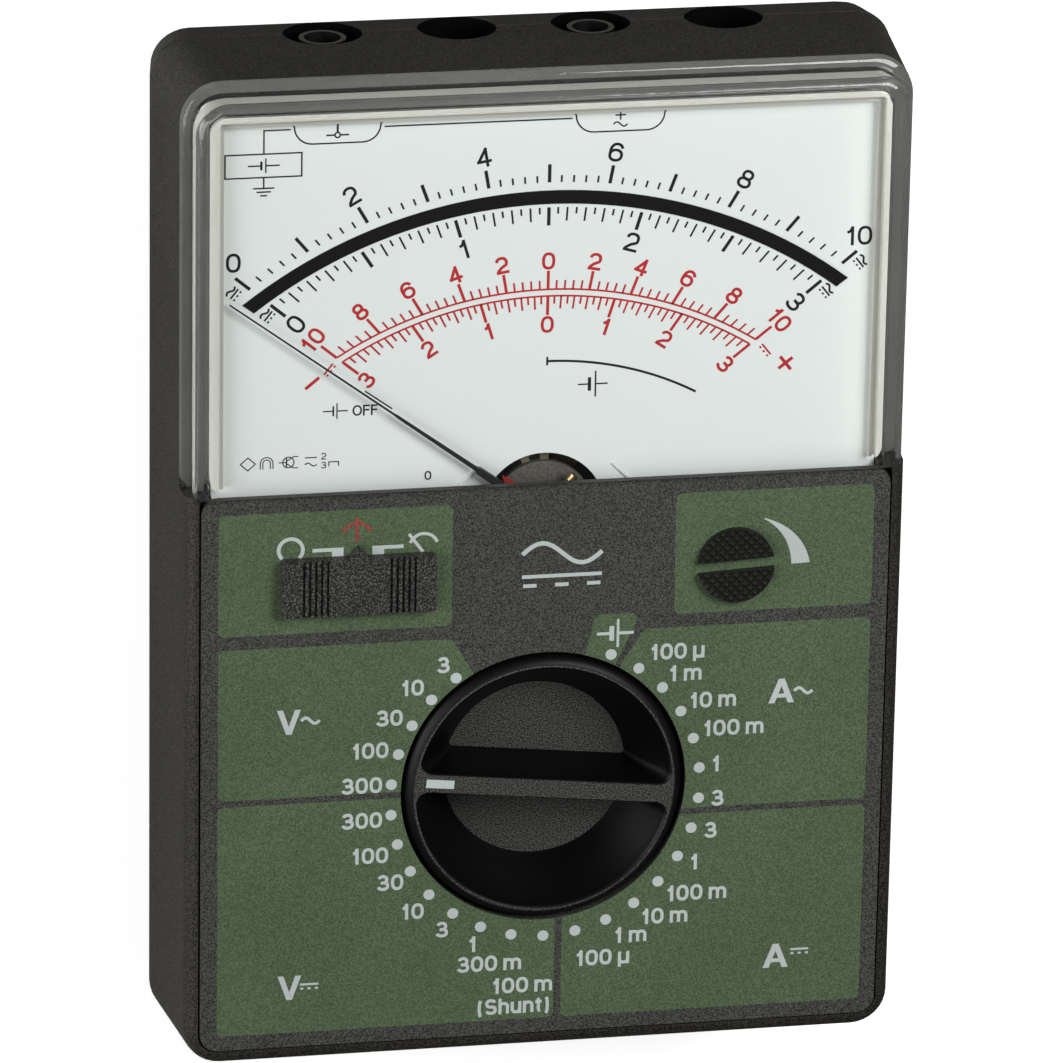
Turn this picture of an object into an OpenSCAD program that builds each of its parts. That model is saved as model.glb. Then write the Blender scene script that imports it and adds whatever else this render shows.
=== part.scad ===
// Pocket analog multimeter, lying on its back with the panel facing up.
// X runs across the meter, Y from its bottom end to its socket end, Z up from the table.

/* [Case] */
// Width of the case across the joint between its halves
case_w = 100; // [90:1:110]
// Length of the case
case_l = 140; // [130:1:150]
// Height of the joint between the halves
joint_z = 9.7; // [9:0.1:11]
// Height of the printed panel face
panel_z = 33; // [32:0.5:34]
// Thickness of the moulded walls
wall = 2.2; // [1.8:0.1:3]
// How far each side wall leans in from the joint to the rim
side_lean = 1.5; // [0:0.1:3]
// How far the bottom wall leans in from the joint to the rim
end_lean = 2; // [0:0.1:3]
// Radius of the rolled edge of the rim
rim_r = 1.9; // [1:0.1:2.5]
// Height of the rubber feet below the rear cover
foot_h = 1; // [0.5:0.1:2]

/* [Window] */
// Place of the window's lower edge along the case
window_y = 13.9; // [10:0.1:20]
// Rise of the window above the panel face
window_rise = 2; // [1:0.1:3]
// Depth of the window's flange below the panel face
window_drop = 4.95; // [3:0.05:7]

/* [Movement] */
// Place of the needle's pivot along the case
pivot_y = 8.4; // [6:0.1:12]
// Length of the needle from its pivot to its tip
needle_l = 52.9; // [45:0.1:56]
// Direction of the resting needle, in degrees from +X
needle_rest = 143.4; // [140:0.1:150]
// Radius of the opening in the dial around the pivot
dial_hole_r = 8.3; // [7:0.1:10]
// Radius of the arcs on the dial, to the outer edge of the mirror
mirror_r = 65.56; // [60:0.01:70]
// Width of the mirror band
mirror_w = 1.86; // [1:0.01:3]

/* [Controls] */
// Place of the range knob's axis along the case
knob_y = -29.7; // [-35:0.1:-25]
// Radius of the range knob
knob_r = 19.1; // [17:0.1:21]
// Rise of the range knob above the panel face
knob_rise = 0.8; // [0:0.1:6]
// Depth of the knob's finger wells
well_depth = 7.8; // [4:0.1:9]
// Direction of the knob's marker at rest, in degrees from +X
marker_angle = 174; // [0:6:360]
// Angle between two settings of the range knob
click_angle = 12; // [10:1:15]
// Distance of the two small controls from the middle of the case
control_x = 25.5; // [22:0.1:28]
// Place of the two small controls along the case
control_y = 1; // [0:0.1:2]
// Width of the function slider
slider_w = 20.7; // [18:0.1:24]
// Travel of the function slider to each side
slider_travel = 2.7; // [2:0.1:4]
// Radius of the adjusting wheel
wheel_r = 5.2; // [4:0.1:6]

/* [Sockets] */
// Distance between neighbouring holes in the socket end
socket_pitch = 18; // [17:0.5:20]
// Radius of each hole in the socket end
well_r = 5.3; // [4.5:0.1:6]
// Bore radius of the test lead sockets
socket_r = 2; // [1.9:0.05:2.2]

/* [Hidden] */
$fn = 64;
skin = 0.01;
gap = 0.05;
half_w = case_w / 2;
half_l = case_l / 2;
rim_z = panel_z - 0.25;
lean_z = rim_z - rim_r;
rear_z = foot_h;
floor_z = rear_z + 2;
front_wall_z = 29.6;
front_wall_top = 31.2;
flange_z = panel_z - window_drop;
window_top = panel_z + window_rise;
joint_gap = 0.1;
screw_x = 41;
screw_y = 60;
board_z = 17.4;
board_top = 19;
board_screw_x = 40;
board_screw_y = [-49, -12];
dial_z = 29.3;
dial_t = 0.6;
needle_z = 30.3;
dial_half_w = 43.8;
dial_top_y = 64.2;
arc_centre_y = -12.15;
knob_top = panel_z + knob_rise;
knob_bottom = 24.4;
rotor_r = 20.6;
rotor_bottom = 22.6;
clicks = 360 / click_angle;
slider_x = -control_x;
wheel_x = control_x;
hole_xs = [for (i = [-1.5 : 1 : 1.5]) i * socket_pitch];
socket_left_x = hole_xs[0];
socket_right_x = hole_xs[2];
collar_r = 3.15;
sleeve_r = 2.45;
socket_block_y = [51, 67.6];
socket_block_x = 34;
bridge_top = 27.4;

// ---------- helpers ----------

// One thin slice of a shell, with its own corner radii at the bottom end and the socket end.
module slice(level) {
    z = level[0];
    hx = level[1];
    y0 = level[2];
    y1 = level[3];
    r0 = level[4];
    r1 = level[5];
    for (side = [-1, 1]) {
        translate([side * (hx - r0), y0 + r0, z]) cylinder(r = r0, h = skin, $fn = 32);
        translate([side * (hx - r1), y1 - r1, z]) cylinder(r = r1, h = skin, $fn = 32);
    }
}

// Smooth shell through a list of slices.
module loft(levels) {
    hull() for (level = levels) slice(level);
}

// Flat plate between two heights with rounded corners, kept exact.
module plate(x0, x1, y0, y1, z0, z1, r) {
    translate([0, 0, z0]) linear_extrude(z1 - z0) {
        translate([x0 + r, y0]) square([x1 - x0 - 2 * r, y1 - y0]);
        translate([x0, y0 + r]) square([x1 - x0, y1 - y0 - 2 * r]);
        for (x = [x0 + r, x1 - r]) for (y = [y0 + r, y1 - r]) translate([x, y]) circle(r);
    }
}

// Block given by two corners.
module block(low, high) {
    translate(low) cube(high - low);
}

// Cylinder along Y from y0 to y1.
module rod_y(x, z, y0, y1, r) {
    translate([x, y1, z]) rotate([90, 0, 0]) cylinder(r = r, h = y1 - y0);
}

// Cylinder along X from x0 to x1.
module rod_x(y, z, x0, x1, r) {
    translate([x0, y, z]) rotate([0, 90, 0]) cylinder(r = r, h = x1 - x0);
}

module at_pivot() {
    translate([0, pivot_y, 0]) children();
}

module at_knob() {
    translate([0, knob_y, 0]) children();
}

// Flat ring between two heights.
module ring(r_out, r_in, z0, z1) {
    translate([0, 0, z0]) difference() {
        cylinder(r = r_out, h = z1 - z0);
        translate([0, 0, -1]) cylinder(r = r_in, h = z1 - z0 + 2);
    }
}

module case_screw_places(z) {
    for (x = [-screw_x, screw_x]) for (y = [-screw_y, screw_y]) translate([x, y, z]) children();
}

module movement_post_places(z) {
    for (x = [-19.5, 19.5]) translate([x, pivot_y, z]) children();
}

module board_screw_places(z) {
    for (x = [-board_screw_x, board_screw_x]) for (y = board_screw_y) translate([x, y, z]) children();
}

// ---------- case ----------

// Outline of the front shell at a height: it leans in at the sides and the bottom end.
function front_level(z, inset) =
    let (t = (z - joint_z) / (lean_z - joint_z))
    [z, half_w - side_lean * t - inset, -half_l + end_lean * t + inset, half_l - inset,
     5 - inset * 0.8, 5.4 - inset * 0.8];

function rim_level(a) =
    let (inset = rim_r * (1 - cos(a)))
    let (z = lean_z + rim_r * sin(a))
    [z, half_w - side_lean - inset, -half_l + end_lean + inset, half_l - inset, 5 - inset, 5.4 - inset];

function rear_level(z, inset) =
    let (side = (joint_z - z) * tan(9))
    let (end = (joint_z - z) * tan(4.5))
    [z, half_w - side - inset, -half_l + end + inset, half_l - end - inset, 5 - inset * 0.5, 5 - inset * 0.5];

module front_housing() color([0.14, 0.14, 0.13]) {
    boss_r = 3.4;
    edge = 0.3;
    low = joint_z + joint_gap;
    difference() {
        loft(concat(
            [front_level(low, edge), front_level(low + edge, 0), front_level(lean_z, 0)],
            [for (a = [22.5 : 22.5 : 90]) rim_level(a)]
        ));
        loft([front_level(joint_z - 1, wall), front_level(front_wall_z - skin, wall)]);
        // seat of the window
        block([-case_w, window_y, flange_z], [case_w, case_l, panel_z + 5]);
        // recess of the panel
        plate(-46.65, 46.65, -65.95, window_y + 3, front_wall_top, panel_z + 5, 2.6);
        // openings for the controls and the needle
        at_knob() translate([0, 0, front_wall_z - 1]) cylinder(r = knob_r + 0.7, h = 5);
        block([slider_x - 7.6, control_y - 2.3, 28], [slider_x + 7.6, control_y + 2.3, 35]);
        translate([wheel_x, control_y, 28]) cylinder(r = 1.9, h = 8);
        block([-17, -3, 28], [17, window_y + 2, front_wall_top + 0.5]);
        block([-45, window_y - 2.4, 28], [45, window_y + 2, front_wall_top + 0.5]);
        for (x = hole_xs) rod_y(x, joint_z, 60, 75, well_r);
    }
    // ledges that carry the dial
    for (side = [-1, 1]) {
        block([side * 46 - 1.8, 16, 26.4], [side * 46 + 1.8, 60, flange_z]);
        block([side * 45 - 0.7, 16, flange_z - skin], [side * 45 + 0.7, 60, dial_z - dial_t]);
    }
    // posts that carry the movement
    movement_post_places(bridge_top) cylinder(r = 1.8, h = front_wall_z - bridge_top + 0.5);
    // guide around the range knob
    at_knob() ring(knob_r + 2.9, knob_r + 0.7, knob_bottom + 0.2, front_wall_z);
    // screw bosses, the ones at the socket end braced against the side wall
    for (x = [-screw_x, screw_x]) {
        difference() {
            union() {
                translate([x, -screw_y, low]) cylinder(r = boss_r, h = front_wall_z - low);
                translate([x, screw_y, low]) cylinder(r = boss_r, h = 12);
                block([min(x, sign(x) * 48), screw_y - 1, low + 1.6],
                      [max(x, sign(x) * 48), screw_y + 1, low + 10]);
            }
            for (y = [-screw_y, screw_y]) translate([x, y, low - 1]) cylinder(r = 1.25, h = 11);
        }
    }
    board_screw_places(board_top) difference() {
        cylinder(r = 2.8, h = front_wall_z - board_top);
        translate([0, 0, -1]) cylinder(r = 1.05, h = 8);
    }
}

module rear_cover() color([0.16, 0.16, 0.15]) {
    edge = 0.3;
    high = joint_z - joint_gap;
    roll = 3;
    difference() {
        union() {
            difference() {
                loft(concat(
                    [for (a = [0 : 22.5 : 90]) rear_level(rear_z + roll * (1 - cos(a)), roll * (1 - sin(a)))],
                    [rear_level(high - edge, 0), rear_level(high, edge)]
                ));
                loft([rear_level(floor_z, wall + 2), rear_level(floor_z + 2, wall),
                      rear_level(joint_z + 1, wall)]);
            }
            // tongue that locates the front shell
            difference() {
                union() {
                    plate(-47.9, 47.9, -67.9, 67.9, high - 3, high - 0.4, 3.4);
                    plate(-47.4, 47.4, -67.4, 67.4, high - 1, joint_z + 1.2, 3.2);
                }
                plate(-46.4, 46.4, -66.4, 66.4, high - 4, joint_z + 3, 2.4);
            }
            case_screw_places(rear_z + 0.2) cylinder(r = 4.6, h = high - rear_z - 0.2);
            // two small ribs in the middle of the socket end
            for (x = [-2.2, 2.3]) block([x - 0.55, half_l - 1.8, 3], [x + 0.55, half_l - 0.72, 4.4]);
        }
        case_screw_places(-1) cylinder(r = 3.2, h = 5.5);
        case_screw_places(0) cylinder(r = 1.7, h = 20);
        block([-socket_block_x - gap, 60, floor_z], [socket_block_x + gap, socket_block_y[1] + gap, 20]);
        for (x = hole_xs) rod_y(x, joint_z, 60, 75, well_r);
        foot_places(rear_z - 1) cylinder(r = 4.6, h = 1.5);
    }
}

module foot_places(z) {
    for (x = [-36, 36]) for (y = [-50, 48]) translate([x, y, z]) children();
}

module rubber_feet() color([0.1, 0.1, 0.1]) {
    foot_places(0) rotate_extrude()
        polygon([[0, 0], [4, 0], [4.5, 0.5], [4.5, rear_z + 0.5], [0, rear_z + 0.5]]);
}

// Pan-head screw pointing up, with a straight slot in its head.
module screw_up(head_r, head_h, shank_r, shank_l) {
    difference() {
        cylinder(r = head_r, h = head_h);
        translate([-head_r, -0.4, -1]) cube([2 * head_r, 0.8, 1 + head_h * 0.5]);
    }
    translate([0, 0, head_h]) cylinder(r = shank_r, h = shank_l);
}

module case_screws() color([0.55, 0.55, 0.56]) {
    case_screw_places(2.6) screw_up(2.9, 1.9, 1.2, 13);
}

module front_panel() color([0.2, 0.2, 0.19]) {
    slot_half = 4 + slider_travel + 0.4;
    difference() {
        plate(-46.4, 46.4, -65.7, window_y - 0.2, front_wall_top, panel_z, 2.4);
        at_knob() translate([0, 0, 30]) cylinder(r = knob_r + 0.3, h = 5);
        block([slider_x - slot_half, control_y - 1.8, 30], [slider_x + slot_half, control_y + 1.8, 36]);
        translate([wheel_x, control_y, 30]) cylinder(r = wheel_r + 0.25, h = 5);
        // undercut of the end that overhangs the dial
        block([-45, window_y - 1.8, front_wall_top - 1], [45, window_y, panel_z - 0.8]);
    }
}

// ---------- window and dial ----------

function window_level(z, inset, low_r, top_r) =
    [z, half_w - 1.3 - inset, window_y + 0.05, half_l - inset * 1.05, low_r, top_r];

module window() color([0.85, 0.9, 0.9, 0.35]) {
    box = 1.2;
    edge_r = 2;
    difference() {
        union() {
            loft([
                window_level(flange_z + gap, 0, 2.2, 5.4),
                window_level(flange_z + 1, 0.1, 2.1, 5.3),
                window_level(flange_z + 1.7, 0.6, 1.7, 4.9)
            ]);
            loft(concat(
                [window_level(flange_z + 0.5, box, 1.2, 4.4)],
                [for (a = [0 : 22.5 : 90]) window_level(
                    window_top - skin - edge_r * (1 - sin(a)), box + edge_r * (1 - cos(a)),
                    0.6, 4.4 - edge_r * (1 - cos(a)) * 0.8
                )]
            ));
        }
        loft([
            [flange_z - 1, 45.9, window_y - 8, 66.9, 1, 2.8],
            [panel_z - skin, 45.5, window_y - 8, 66.5, 1, 2.4]
        ]);
    }
}

module dial_plate() color([0.85, 0.88, 0.87]) {
    difference() {
        plate(-44.9, 44.9, 5.5, 66, dial_z - dial_t, dial_z, 0.8);
        at_pivot() cylinder(r = dial_hole_r, h = 40);
        movement_post_places(20) cylinder(r = 2.2, h = 20);
    }
    // raised folds on both sides of the opening
    for (side = [-1, 1]) translate([side * 10.5, window_y - 0.2, dial_z]) rotate([0, 0, -45 * side]) {
        translate([-1.7, -0.18, 0]) cube([3.4, 0.36, 0.3]);
    }
}

module dial_frame() color([0.62, 0.61, 0.58]) {
    step_z = 30.5;
    top_z = 31.8;
    difference() {
        plate(-45.3, 45.3, window_y + 0.3, 66.3, dial_z, top_z, 2);
        plate(-dial_half_w + 0.6, dial_half_w, window_y - 10, dial_top_y, dial_z - 1, top_z + 1, 0.5);
        plate(-dial_half_w - 0.1, dial_half_w + 0.7, window_y - 10, dial_top_y + 1, step_z, top_z + 1, 0.5);
    }
}

// Mirror band: part of a ring about the centre of the arcs, its ends pointing at the pivot.
module mirror_arc() color([0.05, 0.05, 0.06]) {
    reach = 80;
    half_angle = 52.6;
    intersection() {
        translate([0, arc_centre_y, 0]) ring(mirror_r, mirror_r - mirror_w, dial_z, dial_z + 0.12);
        at_pivot() translate([0, 0, dial_z - 1]) linear_extrude(2) polygon([
            [0, 0],
            [reach * sin(half_angle), reach * cos(half_angle)],
            [-reach * sin(half_angle), reach * cos(half_angle)]
        ]);
    }
}

// ---------- movement ----------

module needle() color([0.06, 0.06, 0.06]) {
    root_l = 11.7;
    stem_l = 26;
    at_pivot() rotate([0, 0, needle_rest]) {
        translate([0, 0, needle_z]) linear_extrude(0.25) polygon([
            [stem_l - 2, -0.16], [stem_l, -0.13], [needle_l - 0.2, -0.1], [needle_l, 0],
            [needle_l - 0.2, 0.1], [stem_l, 0.13], [stem_l - 2, 0.16]
        ]);
        translate([0, 0, needle_z - 0.1]) linear_extrude(0.45) polygon([
            [root_l - 1, -0.3], [stem_l - 1, -0.18], [stem_l, 0], [stem_l - 1, 0.18], [root_l - 1, 0.3]
        ]);
        translate([0, 0, needle_z - 0.2]) linear_extrude(0.8) polygon([
            [1.6, -0.55], [root_l - 0.6, -0.5], [root_l, -0.28],
            [root_l, 0.28], [root_l - 0.6, 0.5], [1.6, 0.55]
        ]);
    }
}

module needle_hub() color([0.2, 0.2, 0.2]) {
    arm_l = 5.6;
    at_pivot() rotate([0, 0, needle_rest]) {
        ring(1.6, 0.6, needle_z - 0.6, needle_z + 0.6);
        for (a = [90, 180, 270]) rotate([0, 0, a]) {
            translate([1.5, -0.3, needle_z - 0.2]) cube([arm_l - 1.5, 0.6, 0.5]);
        }
    }
}

module balance_weights() color([0.72, 0.6, 0.3]) {
    at_pivot() rotate([0, 0, needle_rest]) for (a = [90, 180, 270]) rotate([0, 0, a]) {
        translate([5.6, 0, needle_z + 0.05]) rotate([0, 90, 0]) cylinder(r = 0.6, h = 1);
    }
}

module pivot_staff() color([0.7, 0.7, 0.72]) {
    at_pivot() {
        translate([0, 0, 24.9]) cylinder(r = 0.6, h = needle_z + 0.6 - 24.9);
        translate([0, 0, 10.4]) cylinder(r = 0.6, h = 13.1 - 10.4);
    }
}

// Rectangular loop in the plane of the coil's legs, from one radius and one end height outward.
module coil_loop(r_in, r_out, low_out, low_in, high_in, high_out, width) {
    at_pivot() rotate([0, 0, needle_rest - 90]) difference() {
        block([-r_out, -width / 2, low_out], [r_out, width / 2, high_out]);
        block([-r_in, -width, low_in], [r_in, width, high_in]);
    }
}

module coil_former() color([0.75, 0.76, 0.78]) {
    coil_loop(7, 7.5, 13.6, 14.1, 23.9, 24.4, 3);
}

module coil_winding() color([0.65, 0.35, 0.16]) {
    coil_loop(7.5, 8.8, 13.1, 13.6, 24.4, 24.9, 2.6);
}

module core_magnet() color([0.35, 0.36, 0.38]) {
    at_pivot() translate([0, 0, 14.8]) cylinder(r = 6.2, h = 8.4);
}

// Two blocks outside the coil's sweep that tie the core to the yoke.
module core_clamps() color([0.75, 0.62, 0.35]) {
    at_pivot() difference() {
        for (side = [-1, 1]) {
            block([-2, min(side * 5, side * 9.8), 15.2], [2, max(side * 5, side * 9.8), 22.8]);
        }
        translate([0, 0, 10]) cylinder(r = 6.2, h = 20);
        ring(14, 9.6, 10, 30);
    }
}

module yoke_ring() color([0.45, 0.46, 0.48]) {
    at_pivot() ring(12, 9.6, 14, 24);
}

module movement_frame() color([0.78, 0.74, 0.62]) {
    ear_x = 13.5;
    at_pivot() {
        difference() {
            union() {
                translate([0, 0, 9.9]) cylinder(r = 12, h = 1.4);
                for (side = [-1, 1]) {
                    block([side * ear_x - 1.4, -3, 9.9], [side * ear_x + 1.4, 3, 26.2]);
                }
                block([-ear_x, -3, 9.9], [ear_x, 3, 11.3]);
            }
            translate([0, 0, 9]) cylinder(r = 0.65, h = 4);
        }
        // seats of the yoke
        difference() {
            ring(12, 9.6, 11.3, 14);
            for (a = [0, 90]) rotate([0, 0, a]) block([-7, -14, 11.2], [7, 14, 15]);
        }
    }
}

module front_bridge() color([0.72, 0.7, 0.62]) {
    at_pivot() difference() {
        union() {
            block([-21.5, -2.5, 26.2], [21.5, 2.5, bridge_top]);
            // lugs seen in the dark ring around the cap
            for (a = [87, 108]) rotate([0, 0, a]) block([2, -0.55, 26.6], [8, 0.55, bridge_top + 0.2]);
        }
        translate([0, 0, 20]) cylinder(r = 0.65, h = 10);
    }
}

module movement_cap() color([0.42, 0.41, 0.38]) {
    at_pivot() ring(6.8, 1.6, 27.6, 28.5);
}

module zero_lever() color([0.6, 0.12, 0.1]) {
    at_pivot() rotate([0, 0, 137]) translate([0, 0, 28.5]) {
        linear_extrude(0.35) polygon([[3, -0.4], [6.2, -0.4], [7.6, 0], [6.2, 0.7], [3, 0.4]]);
    }
}

function spiral_point(a, r0, pitch) = (r0 + pitch * a / 360) * [cos(a), sin(a)];

// Flat spiral spring, one ribbon of constant width.
module hairspring(z, height) {
    r0 = 1;
    pitch = 0.9;
    turns = 4;
    ribbon = 0.22;
    step = 12;
    at_pivot() translate([0, 0, z]) linear_extrude(height) polygon(concat(
        [for (a = [0 : step : 360 * turns]) spiral_point(a, r0, pitch)],
        [for (a = [360 * turns : -step : 0]) spiral_point(a, r0 + ribbon, pitch)]
    ));
}

module hairspring_front() color([0.75, 0.6, 0.35]) {
    hairspring(25.2, 0.6);
}

module hairspring_rear() color([0.75, 0.6, 0.35]) {
    hairspring(11.9, 0.6);
}

// ---------- range knob and its switch ----------

// Outline of one finger well: a half moon with rounded corners above the grip bar.
module well_outline(r, bar_half, corner) {
    offset(r = corner, $fn = 32) offset(delta = -corner) intersection() {
        circle(r, $fn = 72);
        translate([-r, bar_half]) square([2 * r, r]);
    }
}

module finger_well() {
    floor_at = knob_top - well_depth;
    hull() {
        translate([0, 0, knob_top]) linear_extrude(1) well_outline(16.9, 1.4, 1.6);
        translate([0, 0, floor_at]) linear_extrude(skin) well_outline(12.5, 2.5, 0.5);
    }
}

module range_knob() color([0.12, 0.12, 0.12]) {
    roll = 1.6;
    at_knob() rotate([0, 0, marker_angle - 180]) difference() {
        union() {
            rotate_extrude() polygon(concat(
                [[0, knob_bottom], [knob_r, knob_bottom]],
                [for (a = [0 : 15 : 90]) [knob_r - roll * (1 - cos(a)), knob_top - roll * (1 - sin(a))]],
                [[0, knob_top]]
            ));
            translate([0, 0, 20.4]) cylinder(r = 4, h = 5);
        }
        finger_well();
        rotate([0, 0, 180]) finger_well();
        block([-16.15, -0.6, knob_top - 0.35], [-12.35, 0.6, knob_top + 1]);
        translate([0, 0, 20]) cylinder(r = 1.05, h = 4.2);
    }
}

module knob_marker() color([0.9, 0.9, 0.88]) {
    at_knob() rotate([0, 0, marker_angle - 180]) {
        block([-16.15, -0.6, knob_top - 0.35], [-12.35, 0.6, knob_top + 0.03]);
    }
}

module knob_screw() color([0.6, 0.6, 0.62]) {
    at_knob() translate([0, 0, 19.25]) screw_up(2.3, 1.15, 1, 3.4);
}

module switch_rotor() color([0.8, 0.77, 0.68]) {
    notch_r = 0.9;
    at_knob() difference() {
        union() {
            translate([0, 0, rotor_bottom]) cylinder(r = rotor_r, h = knob_bottom - rotor_bottom);
            translate([0, 0, 20.4]) cylinder(r = 8, h = 3);
        }
        translate([0, 0, 18]) cylinder(r = 4, h = 10);
        for (i = [0 : clicks - 1]) rotate([0, 0, i * click_angle]) {
            translate([rotor_r + 0.35, 0, 20]) cylinder(r = notch_r, h = 6);
        }
    }
}

module wiper_contacts() color([0.8, 0.62, 0.3]) {
    arm_l = 14;
    at_knob() rotate([0, 0, marker_angle]) {
        ring(7, 2.6, 20.1, 20.4);
        for (side = [-1, 1]) {
            block([side * (arm_l + 6) / 2 - 4, -0.8, 20.1], [side * (arm_l + 6) / 2 + 4, 0.8, 20.4]);
            translate([side * (arm_l - 1.2), 0, board_top + 0.2]) cylinder(r = 0.6, h = 1);
        }
    }
}

// Leaf spring on a block under the front wall, its nose at the rotor's rim.
module detent_spring() color([0.7, 0.7, 0.68]) {
    nose_r = 0.8;
    at_knob() {
        block([-9, -25.2, 22.9], [-5.5, -22.4, front_wall_z]);
        block([-9, -23.2, 22.9], [1, -22.8, 24.1]);
        translate([0, -rotor_r - nose_r - 0.1, 22.9]) cylinder(r = nose_r, h = 1.2);
        block([-0.5, -23, 22.9], [0.5, -22, 24.1]);
    }
}

module selector_pads() color([0.85, 0.68, 0.35]) {
    at_knob() {
        for (i = [0 : clicks - 1]) rotate([0, 0, i * click_angle + 6]) {
            block([11.6, -0.8, board_top], [14.2, 0.8, board_top + 0.15]);
        }
        ring(9.4, 7.6, board_top, board_top + 0.15);
    }
}

// ---------- function slider and adjusting wheel ----------

module function_slider() color([0.11, 0.11, 0.11]) {
    depth = 7.9;
    low = panel_z + gap;
    high = panel_z + 1.8;
    groove = 0.36;
    groove_pitch = 0.8;
    translate([slider_x, control_y, 0]) difference() {
        union() {
            plate(-slider_w / 2, slider_w / 2, -depth / 2, depth / 2, low, high, 0.5);
            translate([0, 0, low]) linear_extrude(high - low - 0.25) polygon([
                [-1.6, depth / 2 - 0.4], [1.6, depth / 2 - 0.4], [0, depth / 2 + 1.45]
            ]);
            block([-4, -1.5, 29.5], [4, 1.5, low + 0.5]);
        }
        for (side = [-1, 1]) for (i = [-2 : 2]) {
            x = side * 5.85 + i * groove_pitch;
            block([x - groove / 2, -depth, high - 0.4], [x + groove / 2, depth, high + 1]);
        }
    }
}

module slider_carriage() color([0.82, 0.8, 0.74]) {
    translate([slider_x, control_y, 0]) {
        block([-8.6, -3.4, 28.3], [8.6, 3.4, 29.5]);
        block([-1.5, -1, 21.4], [1.5, 1, 28.3]);
    }
}

module slide_switch() color([0.3, 0.3, 0.32]) {
    slot_half = 1.5 + slider_travel + 0.3;
    translate([slider_x, control_y, 0]) difference() {
        block([-9, -3.5, board_top], [9, 3.5, 25]);
        block([-slot_half, -1.3, 20.9], [slot_half, 1.3, 26]);
    }
}

module adjust_wheel() color([0.1, 0.1, 0.1]) {
    top = panel_z + 1.3;
    knurl = 0.92;
    slot_w = 1.6;
    translate([wheel_x, control_y, 0]) difference() {
        union() {
            translate([0, 0, 31.4]) cylinder(r = wheel_r, h = top - 31.4);
            translate([0, 0, 21]) cylinder(r = 1.5, h = 11);
        }
        for (turn = [45, -45]) rotate([0, 0, turn]) for (i = [-5 : 5]) {
            translate([(i + 0.5) * knurl, 0, top + 0.06]) rotate([0, 45, 0])
                cube([0.6, 12, 0.6], center = true);
        }
        rotate([0, 0, 3]) block([-wheel_r - 1, -slot_w / 2, top - 1.6], [wheel_r + 1, slot_w / 2, top + 1]);
    }
}

module trimmer() color([0.16, 0.25, 0.45]) {
    translate([wheel_x, control_y, 0]) difference() {
        block([-4.8, -4.8, board_top], [4.8, 4.8, 25]);
        translate([0, 0, 20.6]) cylinder(r = 1.55, h = 6);
    }
}

// ---------- circuit board ----------

module circuit_board() color([0.16, 0.36, 0.2]) {
    notch_half = 16;
    notch_y = -7.6;
    difference() {
        translate([0, 0, board_z]) linear_extrude(board_top - board_z) polygon([
            [-44, -64], [44, -64], [44, 9], [notch_half, 9], [notch_half, notch_y],
            [-notch_half, notch_y], [-notch_half, 9], [-44, 9]
        ]);
        at_knob() cylinder(r = 3, h = 30);
        board_screw_places(0) cylinder(r = 1.6, h = 30);
        for (x = [-screw_x, screw_x]) translate([x, -screw_y, 0]) cylinder(r = 3.9, h = 30);
    }
}

module board_screws() color([0.6, 0.6, 0.62]) {
    board_screw_places(15.8) screw_up(2.5, 1.6, 1, 7);
}

// A cartridge fuse across the board's lower end.
fuse_y = -58.5;
fuse_z = 23.4;
fuse_half = 16;

module fuse_tube() color([0.85, 0.9, 0.9, 0.4]) {
    difference() {
        rod_x(fuse_y, fuse_z, -fuse_half + 1, fuse_half - 1, 2.9);
        rod_x(fuse_y, fuse_z, -fuse_half, fuse_half, 2.2);
    }
}

module fuse_caps() color([0.75, 0.75, 0.77]) {
    for (side = [-1, 1]) difference() {
        rod_x(fuse_y, fuse_z, side * (fuse_half - 3) - 3, side * (fuse_half - 3) + 3, 3.15);
        rod_x(fuse_y, fuse_z, -fuse_half + 1, fuse_half - 1, 2.9);
    }
}

module fuse_clips() color([0.8, 0.7, 0.4]) {
    for (side = [-1, 1]) translate([side * (fuse_half - 3), 0, 0]) difference() {
        block([-2, fuse_y - 3.9, board_top], [2, fuse_y + 3.9, fuse_z + 1.5]);
        rod_x(fuse_y, fuse_z, -3, 3, 3.15);
        block([-3, fuse_y - 2.6, fuse_z], [3, fuse_y + 2.6, fuse_z + 5]);
    }
}

resistor_rows = 4;

module resistors() color([0.7, 0.62, 0.45]) {
    for (i = [0 : resistor_rows - 1]) translate([33, -43 + i * 6, board_top]) {
        rod_x(0, 1.6, -4, 4, 1.4);
        for (side = [-1, 1]) {
            rod_x(0, 1.6, min(side * 4, side * 6), max(side * 4, side * 6), 0.35);
            translate([side * 5.8, 0, 0]) cylinder(r = 0.35, h = 1.8);
        }
    }
}

module current_shunt() color([0.72, 0.45, 0.25]) {
    translate([-33, -33, board_top]) {
        for (y = [-8, 8]) translate([0, y, 0]) cylinder(r = 0.7, h = 4);
        rod_y(0, 4, -8.7, 8.7, 0.7);
    }
}

module capacitors() color([0.16, 0.2, 0.42]) {
    for (y = [-52, -44]) translate([-34, y - 2, board_top]) {
        rotate_extrude() polygon([[0, 0], [2.6, 0], [2.6, 6.2], [2.2, 6.6], [0, 6.6]]);
    }
}

// ---------- sockets and battery ----------

module socket_housing() color([0.1, 0.1, 0.1]) {
    y0 = socket_block_y[0];
    y1 = socket_block_y[1];
    difference() {
        block([-socket_block_x, y0, floor_z], [socket_block_x, y1, 15.7]);
        for (x = hole_xs) rod_y(x, joint_z, y0 + 2, y1 + 5, well_r);
        for (x = [socket_left_x, socket_right_x]) rod_y(x, joint_z, y0 - 5, y1 + 5, collar_r);
    }
}

module socket_collar(x) {
    difference() {
        rod_y(x, joint_z, 50, half_l - 0.65, collar_r);
        rod_y(x, joint_z, 40, half_l + 5, sleeve_r);
    }
}

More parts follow.
